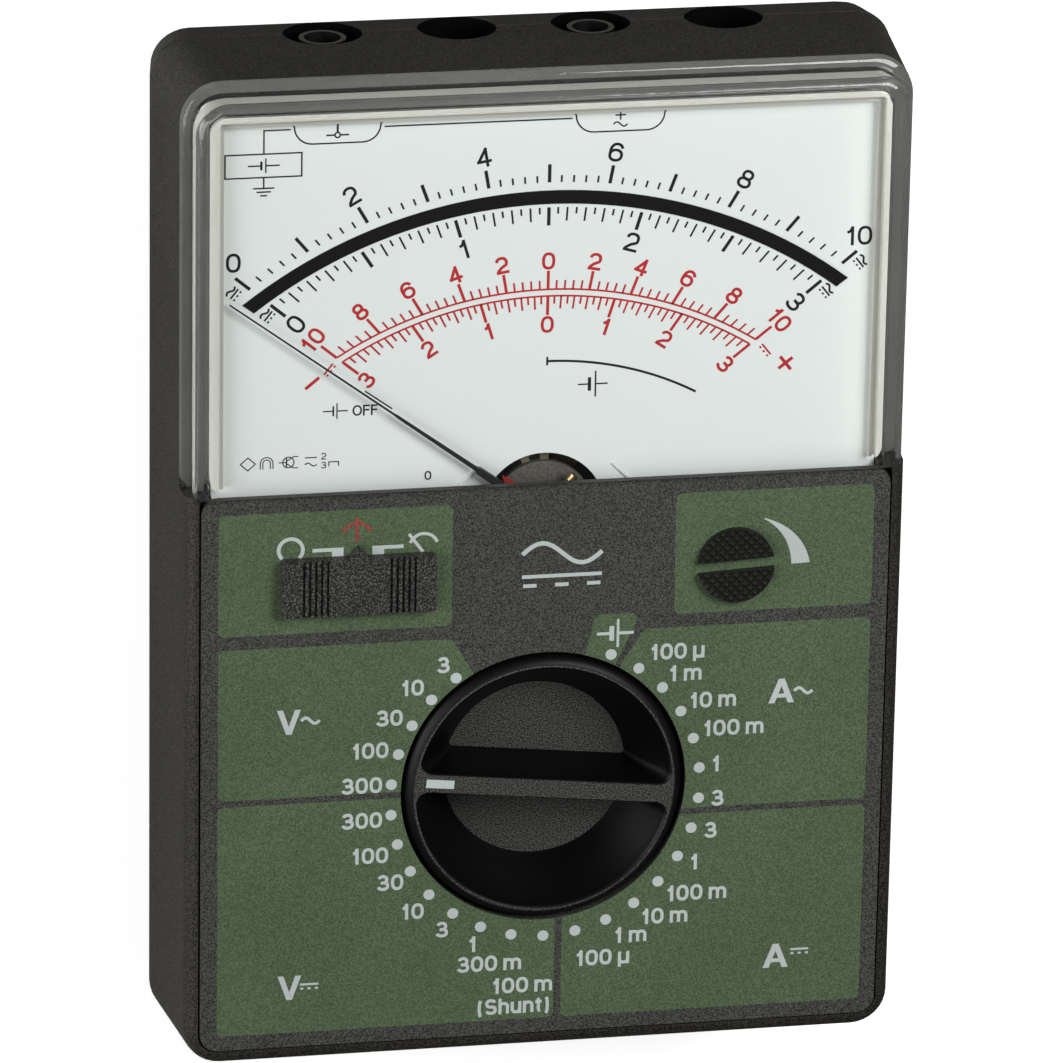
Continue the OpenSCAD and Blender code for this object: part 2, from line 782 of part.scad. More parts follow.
module socket_sleeve(x) {
    difference() {
        rod_y(x, joint_z, 48, half_l - 3.5, sleeve_r);
        rod_y(x, joint_z, 50.5, half_l + 5, socket_r);
    }
}

module socket_collar_left() color([0.4, 0.39, 0.36]) socket_collar(socket_left_x);

module socket_collar_right() color([0.4, 0.39, 0.36]) socket_collar(socket_right_x);

module socket_sleeve_left() color([0.72, 0.7, 0.62]) socket_sleeve(socket_left_x);

module socket_sleeve_right() color([0.72, 0.7, 0.62]) socket_sleeve(socket_right_x);

// Metal strips from the sockets, over the battery, down to the board.
module terminal_straps() color([0.8, 0.66, 0.35]) {
    strip = 0.4;
    lift_z = 21;
    for (route = [[socket_left_x, socket_left_x], [socket_right_x, 20]]) {
        x0 = route[0];
        x1 = route[1];
        block([x0 - 1.5, 48 - strip, joint_z - 2], [x0 + 1.5, 48, lift_z]);
        block([min(x0, x1) - 1.5, 45, lift_z - strip], [max(x0, x1) + 1.5, 48, lift_z]);
        block([x1 - 1.5, 6.4, lift_z - strip], [x1 + 1.5, 45, lift_z]);
        block([x1 - 1.5, 6.4, board_top], [x1 + 1.5, 6.4 + strip, lift_z]);
    }
}

cell_y = 34;
cell_z = 11.4;
cell_r = 7;
cell_half = 24.5;

module battery_cell() color([0.5, 0.52, 0.54]) {
    rod_x(cell_y, cell_z, -cell_half, cell_half - 1.2, cell_r);
    rod_x(cell_y, cell_z, cell_half - 1.2, cell_half, 2.7);
}

module battery_contacts() color([0.75, 0.75, 0.74]) {
    for (side = [-1, 1]) {
        x0 = side * cell_half;
        x1 = side * (cell_half + 0.5);
        block([min(x0, x1), cell_y - 4, cell_z - 4], [max(x0, x1), cell_y + 4, cell_z + 8]);
    }
}

module battery_holder() color([0.13, 0.13, 0.13]) {
    out = cell_half + 2;
    difference() {
        block([-out, cell_y - 8.2, floor_z], [out, cell_y + 8.2, cell_z]);
        rod_x(cell_y, cell_z, -cell_half, cell_half, cell_r);
        block([-cell_half - 0.5, cell_y - 7, 4.6], [cell_half + 0.5, cell_y + 7, 20]);
    }
}

// ---------- the assembly ----------

front_housing();
rear_cover();
case_screws();
rubber_feet();
window();
front_panel();
dial_plate();
dial_frame();
mirror_arc();
needle();
needle_hub();
balance_weights();
pivot_staff();
coil_former();
coil_winding();
core_magnet();
core_clamps();
yoke_ring();
movement_frame();
front_bridge();
movement_cap();
zero_lever();
hairspring_front();
hairspring_rear();
range_knob();
knob_marker();
knob_screw();
switch_rotor();
wiper_contacts();
detent_spring();
function_slider();
slider_carriage();
slide_switch();
adjust_wheel();
trimmer();
circuit_board();
selector_pads();
fuse_tube();
fuse_caps();
fuse_clips();
resistors();
current_shunt();
capacitors();
board_screws();
socket_housing();
socket_collar_left();
socket_collar_right();
socket_sleeve_left();
socket_sleeve_right();
terminal_straps();
battery_cell();
battery_contacts();
battery_holder();
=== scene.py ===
"""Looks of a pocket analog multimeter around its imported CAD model. Lengths here are millimetres."""

import math

import bmesh
import bpy
from mathutils import Euler, Matrix, Vector


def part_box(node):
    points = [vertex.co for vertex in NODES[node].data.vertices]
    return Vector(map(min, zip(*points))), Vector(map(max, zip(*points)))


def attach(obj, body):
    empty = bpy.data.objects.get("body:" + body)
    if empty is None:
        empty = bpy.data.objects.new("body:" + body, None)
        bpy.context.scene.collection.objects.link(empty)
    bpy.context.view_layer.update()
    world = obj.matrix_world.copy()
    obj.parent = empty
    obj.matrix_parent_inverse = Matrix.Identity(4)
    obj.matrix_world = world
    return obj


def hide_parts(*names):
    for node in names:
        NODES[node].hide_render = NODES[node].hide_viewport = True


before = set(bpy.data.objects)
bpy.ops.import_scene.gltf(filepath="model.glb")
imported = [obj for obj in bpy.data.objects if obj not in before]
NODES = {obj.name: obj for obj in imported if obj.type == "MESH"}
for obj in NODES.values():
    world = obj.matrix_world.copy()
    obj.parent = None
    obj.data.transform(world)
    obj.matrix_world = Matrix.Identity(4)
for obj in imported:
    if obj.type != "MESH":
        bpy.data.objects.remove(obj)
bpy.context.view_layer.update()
MM = 0.001
# edges that turn by less than this many degrees are shaded smooth
CREASE = 32


# ---------- places taken from the frame ----------

def mm_box(node):
    low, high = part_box(node)
    return [c / MM for c in low], [c / MM for c in high]


PANEL_TOP = mm_box("front_panel")[1][2]
DIAL_TOP = mm_box("dial_plate")[1][2]
# the raised folds stand 0.3 mm above the sheet of the dial
DIAL_FACE = DIAL_TOP - 0.3
KNOB_LOW, KNOB_HIGH = mm_box("range_knob")
KNOB_Y = (KNOB_LOW[1] + KNOB_HIGH[1]) / 2
KNOB_TOP = KNOB_HIGH[2]
KNOB_R = (KNOB_HIGH[0] - KNOB_LOW[0]) / 2
STAFF_LOW, STAFF_HIGH = mm_box("pivot_staff")
PIVOT = Vector(((STAFF_LOW[0] + STAFF_HIGH[0]) / 2, (STAFF_LOW[1] + STAFF_HIGH[1]) / 2))
WINDOW_LOW, WINDOW_HIGH = mm_box("window")
# the panel print sits a little off the knob's axis
PRINT = Vector((0.3, KNOB_Y - 0.7))
ARC_CENTRE = Vector((0.0, -12.15))


# ---------- materials ----------

class Shader:
    """A small builder of node materials."""

    def __init__(self, name):
        self.mat = bpy.data.materials.new(name)
        self.mat.use_nodes = True
        self.nodes = self.mat.node_tree.nodes
        self.links = self.mat.node_tree.links
        self.bsdf = self.nodes["Principled BSDF"]
        self.place = self.nodes.new("ShaderNodeTexCoord").outputs["Object"]

    def noise(self, size, detail=2.0, rough=0.5, distortion=0.0):
        n = self.nodes.new("ShaderNodeTexNoise")
        n.inputs["Scale"].default_value = 1.0 / (size * MM)
        n.inputs["Detail"].default_value = detail
        n.inputs["Roughness"].default_value = rough
        n.inputs["Distortion"].default_value = distortion
        self.links.new(self.place, n.inputs["Vector"])
        return n.outputs["Fac"]

    def cells(self, size):
        n = self.nodes.new("ShaderNodeTexVoronoi")
        n.inputs["Scale"].default_value = 1.0 / (size * MM)
        self.links.new(self.place, n.inputs["Vector"])
        return n.outputs["Distance"]

    def ramp(self, fac, low, high, a, b):
        n = self.nodes.new("ShaderNodeMapRange")
        n.inputs["From Min"].default_value = low
        n.inputs["From Max"].default_value = high
        n.inputs["To Min"].default_value = a
        n.inputs["To Max"].default_value = b
        self.links.new(fac, n.inputs["Value"])
        return n.outputs["Result"]

    def math(self, op, a, b):
        n = self.nodes.new("ShaderNodeMath")
        n.operation = op
        for i, v in enumerate((a, b)):
            if isinstance(v, (int, float)):
                n.inputs[i].default_value = v
            else:
                self.links.new(v, n.inputs[i])
        return n.outputs[0]

    def mix(self, fac, a, b):
        n = self.nodes.new("ShaderNodeMix")
        n.data_type = "RGBA"
        for i, v in ((0, fac), (6, a), (7, b)):
            if isinstance(v, (int, float)):
                n.inputs[i].default_value = v
            elif isinstance(v, tuple):
                n.inputs[i].default_value = (*v, 1.0)
            else:
                self.links.new(v, n.inputs[i])
        return n.outputs[2]

    def tinted(self, color, factor):
        """The colour times a varying factor."""
        n = self.nodes.new("ShaderNodeMix")
        n.data_type, n.blend_type = "RGBA", "MULTIPLY"
        n.inputs[0].default_value = 1.0
        n.inputs[6].default_value = (*color, 1.0)
        self.links.new(factor, n.inputs[7])
        return n.outputs[2]

    def color(self, value):
        if isinstance(value, tuple):
            self.bsdf.inputs["Base Color"].default_value = (*value, 1.0)
        else:
            self.links.new(value, self.bsdf.inputs["Base Color"])

    def set(self, **values):
        names = {"rough": "Roughness", "metal": "Metallic", "ior": "IOR", "spec": "Specular IOR Level",
                 "coat": "Coat Weight", "coat_rough": "Coat Roughness", "alpha": "Alpha",
                 "transmission": "Transmission Weight"}
        for key, v in values.items():
            socket = self.bsdf.inputs[names[key]]
            if isinstance(v, (int, float)):
                socket.default_value = v
            else:
                self.links.new(v, socket)

    def bump(self, height, depth):
        n = self.nodes.new("ShaderNodeBump")
        n.inputs["Distance"].default_value = depth * MM
        n.inputs["Strength"].default_value = 1.0
        self.links.new(height, n.inputs["Height"])
        self.links.new(n.outputs["Normal"], self.bsdf.inputs["Normal"])

    def blend(self, shader, fac):
        """Mixes another shader over the surface."""
        n = self.nodes.new("ShaderNodeMixShader")
        self.links.new(fac, n.inputs[0])
        self.links.new(self.bsdf.outputs[0], n.inputs[1])
        self.links.new(shader, n.inputs[2])
        self.links.new(n.outputs[0], self.nodes["Material Output"].inputs["Surface"])


def scaled(color, k):
    return tuple(c * k for c in color)


def moulded(name, color, rough=0.5, grain=0.3, size=0.18, depth=0.03, tone=0.08, spec=0.5, onset=0.41,
            sparkle=1.0):
    """Spark-eroded moulded plastic: fine pebbled grain, lighter and darker specks, slow tone changes."""
    s = Shader(name)
    slow = s.ramp(s.noise(18, 3), 0.35, 0.65, 1 - tone, 1 + tone)
    fine = s.noise(size, 2, 0.6)
    speck = s.ramp(fine, onset, onset + 0.2, 1 - grain, 1 + grain * sparkle)
    s.color(s.tinted(color, s.math("MULTIPLY", slow, speck)))
    s.set(rough=s.ramp(fine, 0.3, 0.7, rough + 0.08, rough - 0.08), spec=spec)
    s.bump(fine, depth)
    return s.mat


def printed(name, color, grain=0.3, depth=0.012, spec=0.4):
    """Screen-printed ink that lets the grain of its sheet through."""
    return moulded(name, color, rough=0.55, grain=grain, depth=depth, tone=0.05, spec=spec)


def metal(name, color, rough=0.3):
    """Bare metal with slow stains and fine scratches in its shine."""
    s = Shader(name)
    stain = s.ramp(s.noise(2.5, 4), 0.35, 0.7, 0.0, 1.0)
    s.color(s.mix(stain, color, scaled(color, 0.8)))
    fine = s.noise(0.15, 4, 0.7, 0.5)
    s.set(metal=1.0, rough=s.ramp(fine, 0.3, 0.7, rough - 0.075, rough + 0.075))
    s.bump(fine, 0.004)
    return s.mat


def glossy_paint(name, color, rough=0.25, coat=0.3):
    s = Shader(name)
    fine = s.noise(0.6, 2)
    s.color(s.mix(s.ramp(fine, 0.3, 0.7, 0.0, 1.0), scaled(color, 0.92), scaled(color, 1.08)))
    s.set(rough=s.ramp(s.noise(4, 3), 0.3, 0.7, rough - 0.05, rough + 0.08), coat=coat, coat_rough=0.1)
    s.bump(fine, 0.004)
    return s.mat


def dial_sheet(name, color):
    """Matt painted dial: very faint orange peel and dust."""
    s = Shader(name)
    dust = s.ramp(s.cells(3.2), 0.0, 0.035, 1.0, 0.0)
    faint = s.ramp(s.noise(0.25, 3, 0.6), 0.3, 0.7, 0.0, 1.0)
    paint = s.mix(faint, scaled(color, 0.985), scaled(color, 1.01))
    s.color(s.mix(s.math("MULTIPLY", dust, 0.25), paint, scaled(color, 0.75)))
    s.set(rough=s.ramp(s.noise(6, 2), 0.3, 0.7, 0.5, 0.62), spec=0.3)
    s.bump(s.noise(0.25, 3, 0.6), 0.003)
    return s.mat


def two_faced(name, color, walls, facing="Z", grain=0.85, rough=0.5):
    """Painted light and shade by facing: textured and lighter where the surface faces along an axis,
    painted shade on the walls, which are dark and smoother.
    """
    s = Shader(name)
    geo = s.nodes.new("ShaderNodeNewGeometry")
    split = s.nodes.new("ShaderNodeSeparateXYZ")
    s.links.new(geo.outputs["True Normal"], split.inputs[0])
    flat = s.ramp(split.outputs[facing], 0.94, 0.985, 0.0, 1.0)
    fine = s.noise(0.2, 2, 0.6)
    textured = s.tinted(color, s.ramp(fine, 0.41, 0.61, 1 - grain, 1 + grain))
    # painted shade: walls take the dark colour, faces turned along the axis the lighter textured one
    s.color(s.mix(flat, walls, textured))
    s.set(rough=s.ramp(flat, 0.0, 1.0, rough - 0.05, rough + 0.03), spec=0.2)
    s.bump(s.math("MULTIPLY", fine, flat), 0.03)
    return s.mat


def window_clear(name, tint, alpha):
    s = Shader(name)
    s.color(tint)
    s.set(rough=s.ramp(s.noise(12, 3), 0.3, 0.7, 0.03, 0.06), alpha=alpha, spec=0.5, ior=1.49)
    s.mat.surface_render_method = "BLENDED"
    return s.mat


def window_glass(name, tint):
    s = Shader(name)
    s.color(tint)
    s.set(rough=s.ramp(s.noise(1.5, 3), 0.35, 0.65, 0.02, 0.09), transmission=1.0, ior=1.49)
    s.bump(s.noise(5, 2), 0.02)
    # lets most of the lamps' light through to the dial
    shadow = s.nodes.new("ShaderNodeLightPath").outputs["Is Shadow Ray"]
    s.blend(s.nodes.new("ShaderNodeBsdfTransparent").outputs[0], s.math("MULTIPLY", shadow, 0.9))
    return s.mat


M = {
    "case": moulded("case_plastic", (0.0250, 0.0225, 0.0165), grain=0.9, size=0.26, tone=0.1, spec=0.4),
    "cover": moulded("cover_plastic", (0.0270, 0.0245, 0.0195), rough=0.52, grain=0.6, spec=0.4),
    "panel": printed("panel_black", (0.052, 0.052, 0.047), grain=0.8, depth=0.02),
    "green": printed("field_green", (0.080, 0.120, 0.062), grain=0.38),
    "label": printed("label_grey", (0.50, 0.55, 0.535), grain=0.05),
    "label_red": printed("label_red", (0.30, 0.055, 0.045), grain=0.3),
    "dial": dial_sheet("dial_paint", (0.76, 0.81, 0.785)),
    "ink": printed("dial_black", (0.012, 0.012, 0.012), grain=0.1, spec=0.2),
    "ink_red": printed("dial_red", (0.47, 0.026, 0.03), grain=0.12, spec=0.2),
    "seat": moulded("window_seat", (0.075, 0.075, 0.07), rough=0.6, grain=0.1),
    "surround": moulded("dial_surround", (0.50, 0.50, 0.45), rough=0.6, grain=0.03, tone=0.03, depth=0.01),
    "mirror": glossy_paint("mirror_band", (0.004, 0.004, 0.004), rough=0.14, coat=0.15),
    "needle": glossy_paint("needle_black", (0.010, 0.010, 0.010), rough=0.45, coat=0.05),
    # knob, adjusting wheel and socket collars: painted shade on walls and sides; the wheel's up-facing
    # faces carry a painted highlight
    "knob": two_faced("knob_plastic", (0.054, 0.053, 0.050), (0.0012, 0.0012, 0.0011)),
    "marker": printed("marker_white", (0.52, 0.58, 0.575), grain=0.06),
    "control": moulded("control_plastic", (0.026, 0.0255, 0.024), rough=0.5, grain=0.5, size=0.26,
                       onset=0.47, sparkle=8.0, spec=0.3),
    "wheel": two_faced("wheel_plastic", (0.034, 0.033, 0.031), (0.014, 0.014, 0.013), grain=0.2, rough=0.4),
    "cap": moulded("cap_grey", (0.10, 0.095, 0.08), rough=0.6, grain=0.25, size=0.35),
    # near black: the socket housing, and the painted shade of the hole liners
    "well": moulded("well_black", (0.002, 0.002, 0.002), rough=0.8, grain=0.1, spec=0.05),
    "collar": two_faced("collar_plastic", (0.085, 0.080, 0.066), (0.001, 0.001, 0.001), facing="Y",
                        grain=0.2, rough=0.7),
    "rubber": moulded("foot_rubber", (0.012, 0.012, 0.012), rough=0.8, grain=0.15, spec=0.3),
    "beige": moulded("beige_plastic", (0.15, 0.125, 0.085), rough=0.6, grain=0.06),
    "nylon": moulded("switch_plastic", (0.6, 0.57, 0.47), rough=0.55, grain=0.04),
    "board": glossy_paint("board_laminate", (0.02, 0.10, 0.035), rough=0.3),
    "resistor": glossy_paint("resistor_body", (0.5, 0.4, 0.24), rough=0.4),
    "capacitor": glossy_paint("capacitor_sleeve", (0.02, 0.03, 0.12)),
    "trimmer": glossy_paint("trimmer_plastic", (0.02, 0.06, 0.25)),
    "can": glossy_paint("cell_can", (0.3, 0.31, 0.33), rough=0.3),
    "red": glossy_paint("red_paint", (0.35, 0.03, 0.02), rough=0.4),
    "steel": metal("steel", (0.55, 0.55, 0.56)),
    "iron": metal("soft_iron", (0.25, 0.25, 0.26), rough=0.5),
    "copper": metal("copper_wire", (0.75, 0.38, 0.2), rough=0.35),
    "aluminium": metal("coil_aluminium", (0.8, 0.8, 0.81), rough=0.35),
    "bronze": metal("bronze", (0.72, 0.52, 0.27), rough=0.32),
    "gold": metal("gold_pads", (0.9, 0.68, 0.28), rough=0.25),
    "nickel": metal("nickel", (0.66, 0.64, 0.6), rough=0.2),
    "fuse_glass": window_clear("fuse_glass", (0.9, 0.93, 0.93), 0.3),
    "pane": window_clear("window_pane", (0.6, 0.63, 0.62), 0.004),
    # painted shade: the window's clear end face is made dark
    "window_end_shade": printed("window_end_shade", (0.02, 0.02, 0.019), grain=0.1),
    "glass": window_glass("window_edge", (0.95, 0.96, 0.95)),
}

NODE_MATERIALS = {
    "case": ["front_housing"], "cover": ["rear_cover"], "panel": ["front_panel"], "dial": ["dial_plate"],
    "surround": ["dial_frame"], "mirror": ["mirror_arc"], "needle": ["needle", "needle_hub"],
    "marker": ["knob_marker"],
    "control": ["function_slider", "slide_switch", "battery_holder"], "wheel": ["adjust_wheel"],
    "well": ["socket_housing"],
    "cap": ["movement_cap"], "collar": ["socket_collar_left", "socket_collar_right"],
    "rubber": ["rubber_feet"],
    "beige": ["movement_frame", "front_bridge"], "nylon": ["switch_rotor", "slider_carriage"],
    "board": ["circuit_board"],
    "resistor": ["resistors"], "capacitor": ["capacitors"], "trimmer": ["trimmer"], "can": ["battery_cell"],
    "red": ["zero_lever"],
    "steel": ["case_screws", "board_screws", "knob_screw", "pivot_staff", "detent_spring"],
    "iron": ["core_magnet", "yoke_ring"], "copper": ["coil_winding"], "aluminium": ["coil_former"],
    "bronze": ["core_clamps", "hairspring_front", "hairspring_rear", "wiper_contacts", "fuse_clips",
               "terminal_straps", "current_shunt", "balance_weights"],
    "gold": ["selector_pads"],
    "nickel": ["fuse_caps", "socket_sleeve_left", "socket_sleeve_right", "battery_contacts"],
    "fuse_glass": ["fuse_tube"],
}


def soften(o):
    """Joins the split faces of a CAD node at render time and smooths its shading below the crease."""
    tree = bpy.data.node_groups.get("soften") or bpy.data.node_groups.new("soften", "GeometryNodeTree")
    if not tree.nodes:
        tree.interface.new_socket("Geometry", in_out="INPUT", socket_type="NodeSocketGeometry")
        tree.interface.new_socket("Geometry", in_out="OUTPUT", socket_type="NodeSocketGeometry")
        new, link = tree.nodes.new, tree.links.new
        start, end = new("NodeGroupInput"), new("NodeGroupOutput")
        merge = new("GeometryNodeMergeByDistance")
        merge.inputs["Distance"].default_value = 0.002 * MM
        drop = new("GeometryNodeRemoveAttribute")
        drop.inputs["Name"].default_value = "custom_normal"
        faces, edges = new("GeometryNodeSetShadeSmooth"), new("GeometryNodeSetShadeSmooth")
        edges.domain = "EDGE"
        edges.inputs["Shade Smooth"].default_value = False
        turn, more = new("GeometryNodeInputMeshEdgeAngle"), new("FunctionNodeCompare")
        more.inputs["B"].default_value = math.radians(CREASE)
        link(start.outputs[0], drop.inputs[0])
        link(drop.outputs[0], merge.inputs[0])
        link(merge.outputs[0], faces.inputs[0])
        link(faces.outputs[0], edges.inputs[0])
        link(turn.outputs["Unsigned Angle"], more.inputs["A"])
        link(more.outputs[0], edges.inputs["Selection"])
        link(edges.outputs[0], end.inputs[0])
    m = o.modifiers.new("soften", "NODES")
    m.node_group = tree


for key, names in NODE_MATERIALS.items():
    for n in names:
        node = NODES[n]
        node.data.materials.clear()
        node.data.materials.append(M[key])
        soften(node)


# ---------- meshes ----------

def new_object(name, mesh, materials, body):
    o = bpy.data.objects.new(name, mesh)
    bpy.context.scene.collection.objects.link(o)
    for m in materials:
        mesh.materials.append(m)
    if body:
        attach(o, body)
    return o


def mesh_of(verts, faces, name="mesh"):
    me = bpy.data.meshes.new(name)
    me.from_pydata([tuple(c * MM for c in v) for v in verts], [], faces)
    bm = bmesh.new()
    bm.from_mesh(me)
    bmesh.ops.recalc_face_normals(bm, faces=bm.faces)
    bm.to_mesh(me)
    bm.free()
    return me


def smooth_mesh(me, angle=CREASE):
    me.shade_smooth()
    me.set_sharp_from_angle(angle=math.radians(angle))


class Ink:
    """Collects flat shapes that all lie between two heights, and makes one printed object of them."""

    def __init__(self, low, high):
        self.low, self.high = low, high
        self.verts, self.faces = [], []
        self.origin, self.turn = Vector((0, 0)), 0.0
        self.count = 0

    def top(self):
        """Height of the next shape: crossing strokes never share a face."""
        self.count += 1
        return self.high + 0.002 * (self.count % 6)

    def at(self, x, y, turn=0.0):
        self.origin, self.turn = Vector((x, y)), math.radians(turn)
        return self

    def where(self, p):
        c, s = math.cos(self.turn), math.sin(self.turn)
        return self.origin.x + c * p[0] - s * p[1], self.origin.y + s * p[0] + c * p[1]

    def poly(self, points):
        n, k, high = len(points), len(self.verts), self.top()
        placed = [self.where(p) for p in points]
        self.verts += [(x, y, self.low) for x, y in placed] + [(x, y, high) for x, y in placed]
        self.faces.append(list(range(k + n - 1, k - 1, -1)))
        self.faces.append(list(range(k + n, k + 2 * n)))
        self.faces += [[k + i, k + (i + 1) % n, k + n + (i + 1) % n, k + n + i] for i in range(n)]
        return self

    def strip(self, left, right, closed=False):
        n, k = len(left), len(self.verts)
        for z in (self.low, self.top()):
            for side in (left, right):
                self.verts += [(*self.where(p), z) for p in side]
        for i in range(n if closed else n - 1):
            j = (i + 1) % n
            self.faces += [[k + j, k + i, k + n + i, k + n + j],
                           [k + 2 * n + i, k + 2 * n + j, k + 3 * n + j, k + 3 * n + i],
                           [k + i, k + j, k + 2 * n + j, k + 2 * n + i],
                           [k + n + j, k + n + i, k + 3 * n + i, k + 3 * n + j]]
        if not closed:
            a, b = k, k + n - 1
            self.faces += [[a, a + 2 * n, a + 3 * n, a + n], [b, b + n, b + 3 * n, b + 2 * n]]
        return self

    def stroke(self, points, width, closed=False):
        pts = [Vector(p) for p in points]
        n, left, right = len(pts), [], []
        for i, p in enumerate(pts):
            before = pts[i - 1] if i or closed else None
            after = pts[(i + 1) % n] if i < n - 1 or closed else None
            a = (p - before).normalized() if before is not None else None
            b = (after - p).normalized() if after is not None else None
            a, b = a or b, b or a
            across = Vector((-(a + b).y, (a + b).x)).normalized()
            reach = width / 2 / max(0.4, across.dot(Vector((-a.y, a.x))))
            left.append(p + across * reach)
            right.append(p - across * reach)
        return self.strip(left, right, closed)

    def rect(self, x0, y0, x1, y1):
        return self.poly([(x0, y0), (x1, y0), (x1, y1), (x0, y1)])

    def arc(self, x, y, r, a0, a1, width, n=24):
        pts = [(x + r * math.cos(a), y + r * math.sin(a))
               for a in (math.radians(a0 + (a1 - a0) * i / n) for i in range(n + 1))]
        return self.stroke(pts, width)

    def ring(self, x, y, r, width, n=32):
        return self.stroke([(x + r * math.cos(math.tau * i / n),
                             y + r * math.sin(math.tau * i / n)) for i in range(n)],
                           width, closed=True)

    def disc(self, x, y, r, n=28):
        return self.poly([(x + r * math.cos(math.tau * i / n),
                           y + r * math.sin(math.tau * i / n)) for i in range(n)])

    def text(self, words, height, weight=0.13, gap=0.09):
        """Digits and unit letters, centred on their own width and on the height of a digit."""
        wide = {" ": 0.28 - gap}
        wide.update((c, g[0]) for c, g in GLYPHS.items())
        pen = -(sum(wide[c] for c in words) + gap * (len(words) - 1)) / 2
        for c in words:
            for kind, points in (GLYPHS[c][1] if c != " " else ()):
                if kind == "solid":
                    self.poly([((pen + x * wide[c]) * height, (y - 0.5) * height) for x, y in points])
                    continue
                pts = [Vector(((pen + weight / 2 + x * (wide[c] - weight)) * height,
                               (weight / 2 + y * (1 - weight) - 0.5) * height))
                       for x, y in points]
                if kind == "line":
                    reach = (pts[-1] - pts[0]).normalized() * (weight * height / 2)
                    pts[0], pts[-1] = pts[0] - reach, pts[-1] + reach
                self.stroke(pts, weight * height, closed=kind == "loop")
            pen += wide[c] + gap
        return self

    def done(self, name, material):
        new_object(name, mesh_of(self.verts, self.faces, name), [material], "case")


def bow(cx, cy, rx, ry, a0, a1, n=16, square=1.0):
    """Points along an elliptic arc; square below 1 fills its corners out a little."""
    pts = []
    for i in range(n + 1):
        a = math.radians(a0 + (a1 - a0) * i / n)
        c, v = math.cos(a), math.sin(a)
        pts.append((cx + rx * math.copysign(abs(c) ** square, c),
                    cy + ry * math.copysign(abs(v) ** square, v)))
    return pts


def loop(cx, cy, rx, ry, square=1.0):
    return "loop", bow(cx, cy, rx, ry, 0, 360 - 15, 23, square)


def line(*points):
    return "line", list(points)


def arch(x0, x1, top):
    """Curve that springs from the stem at x0 and comes down at x1."""
    mid, ry = (x0 + x1) / 2, top * 0.42
    crown = bow(mid, top - ry, (x1 - x0) / 2, ry, 165, 0, 12, 0.8)
    return "curve", [(x0, top - ry * 0.9)] + crown + [(x1, -0.09)]


X_HIGH = 0.72
# each glyph: its width for a height of 1, and its strokes in a cell that runs from 0 to 1 both ways
GLYPHS = {
    "0": (0.74, [loop(0.5, 0.5, 0.5, 0.5, 0.82)]),
    "1": (0.52,
          [line((0.72, 0), (0.72, 1)), ("curve", [(0.0, 0.72), (0.3, 0.76), (0.55, 0.86), (0.72, 1.04)])]),
    "2": (0.74,
          [("curve",
            bow(0.5, 0.69, 0.47, 0.31, 172, -38, 16, 0.9) + [(0.45, 0.34), (0.12, 0.13), (0.02, -0.02)]),
           line((0.04, 0), (0.98, 0))]),
    "3": (0.74,
          [("curve", bow(0.48, 0.745, 0.42, 0.255, 165, -84, 16, 0.9)),
           ("curve", bow(0.49, 0.26, 0.51, 0.26, 84, -168, 18, 0.9)),
           line((0.42, 0.505), (0.5, 0.505))]),
    "4": (0.76,
          [line((0.74, 0), (0.74, 1)), ("curve", [(0.76, 1.02), (0.04, 0.26)]),
           line((0.02, 0.25), (1, 0.25))]),
    "6": (0.74,
          [loop(0.5, 0.315, 0.5, 0.315, 0.9),
           ("curve", bow(0.53, 0.5, 0.53, 0.5, 28, 180, 16, 0.9) + [(0.0, 0.3)])]),
    "8": (0.74, [loop(0.5, 0.755, 0.4, 0.245, 0.92), loop(0.5, 0.265, 0.5, 0.265, 0.92)]),
    "m": (1.06, [line((0, 0), (0, X_HIGH)), arch(0, 0.5, X_HIGH), arch(0.5, 1, X_HIGH)]),
    "n": (0.64, [line((0, 0), (0, X_HIGH)), arch(0, 1, X_HIGH)]),
    "h": (0.64, [line((0, 0), (0, 1)), arch(0, 1, X_HIGH)]),
    "u": (0.64,
          [line((1, 0), (1, X_HIGH)),
           ("curve", [(0, X_HIGH + 0.09)] + bow(0.5, 0.3, 0.5, 0.3, 180, 345, 12, 0.8) + [(1, 0.25)])]),
    "µ": (0.68,
          [line((1, 0), (1, X_HIGH)), line((0, -0.24), (0, X_HIGH)),
           ("curve", bow(0.5, 0.3, 0.5, 0.3, 180, 345, 12, 0.8) + [(1, 0.25)])]),
    "t": (0.4,
          [("curve", [(0.5, 1.0), (0.5, 0.2)] + bow(0.85, 0.2, 0.35, 0.2, 200, 270, 5) + [(1.1, 0.0)]),
           line((0.06, X_HIGH), (0.96, X_HIGH))]),
    "S": (0.72,
          [("curve", bow(0.5, 0.745, 0.47, 0.255, 20, 250, 16, 0.9)
            + bow(0.5, 0.255, 0.5, 0.255, 70, -160, 16, 0.9))]),
    "O": (0.84, [loop(0.5, 0.5, 0.5, 0.5, 0.95)]),
    "F": (0.62, [line((0, 0), (0, 1)), line((0, 1), (0.96, 1)), line((0, 0.53), (0.85, 0.53))]),
    "(": (0.36, [("curve", bow(1.0, 0.4, 0.9, 0.72, 118, 242, 12))]),
    ")": (0.36, [("curve", bow(0.0, 0.4, 0.9, 0.72, 62, -62, 12))]),
    "V": (0.92,
          [("solid", [(0, 1), (0.385, 0), (0.615, 0), (0.25, 1)]),
           ("solid", [(1, 1), (0.75, 1), (0.385, 0), (0.615, 0)])]),
    "A": (1.0,
          [("solid", [(0, 0), (0.24, 0), (0.615, 1), (0.385, 1)]),
           ("solid", [(1, 0), (0.615, 1), (0.385, 1), (0.76, 0)]),
           ("solid", [(0.2, 0.22), (0.8, 0.22), (0.75, 0.38), (0.25, 0.38)])]),
}


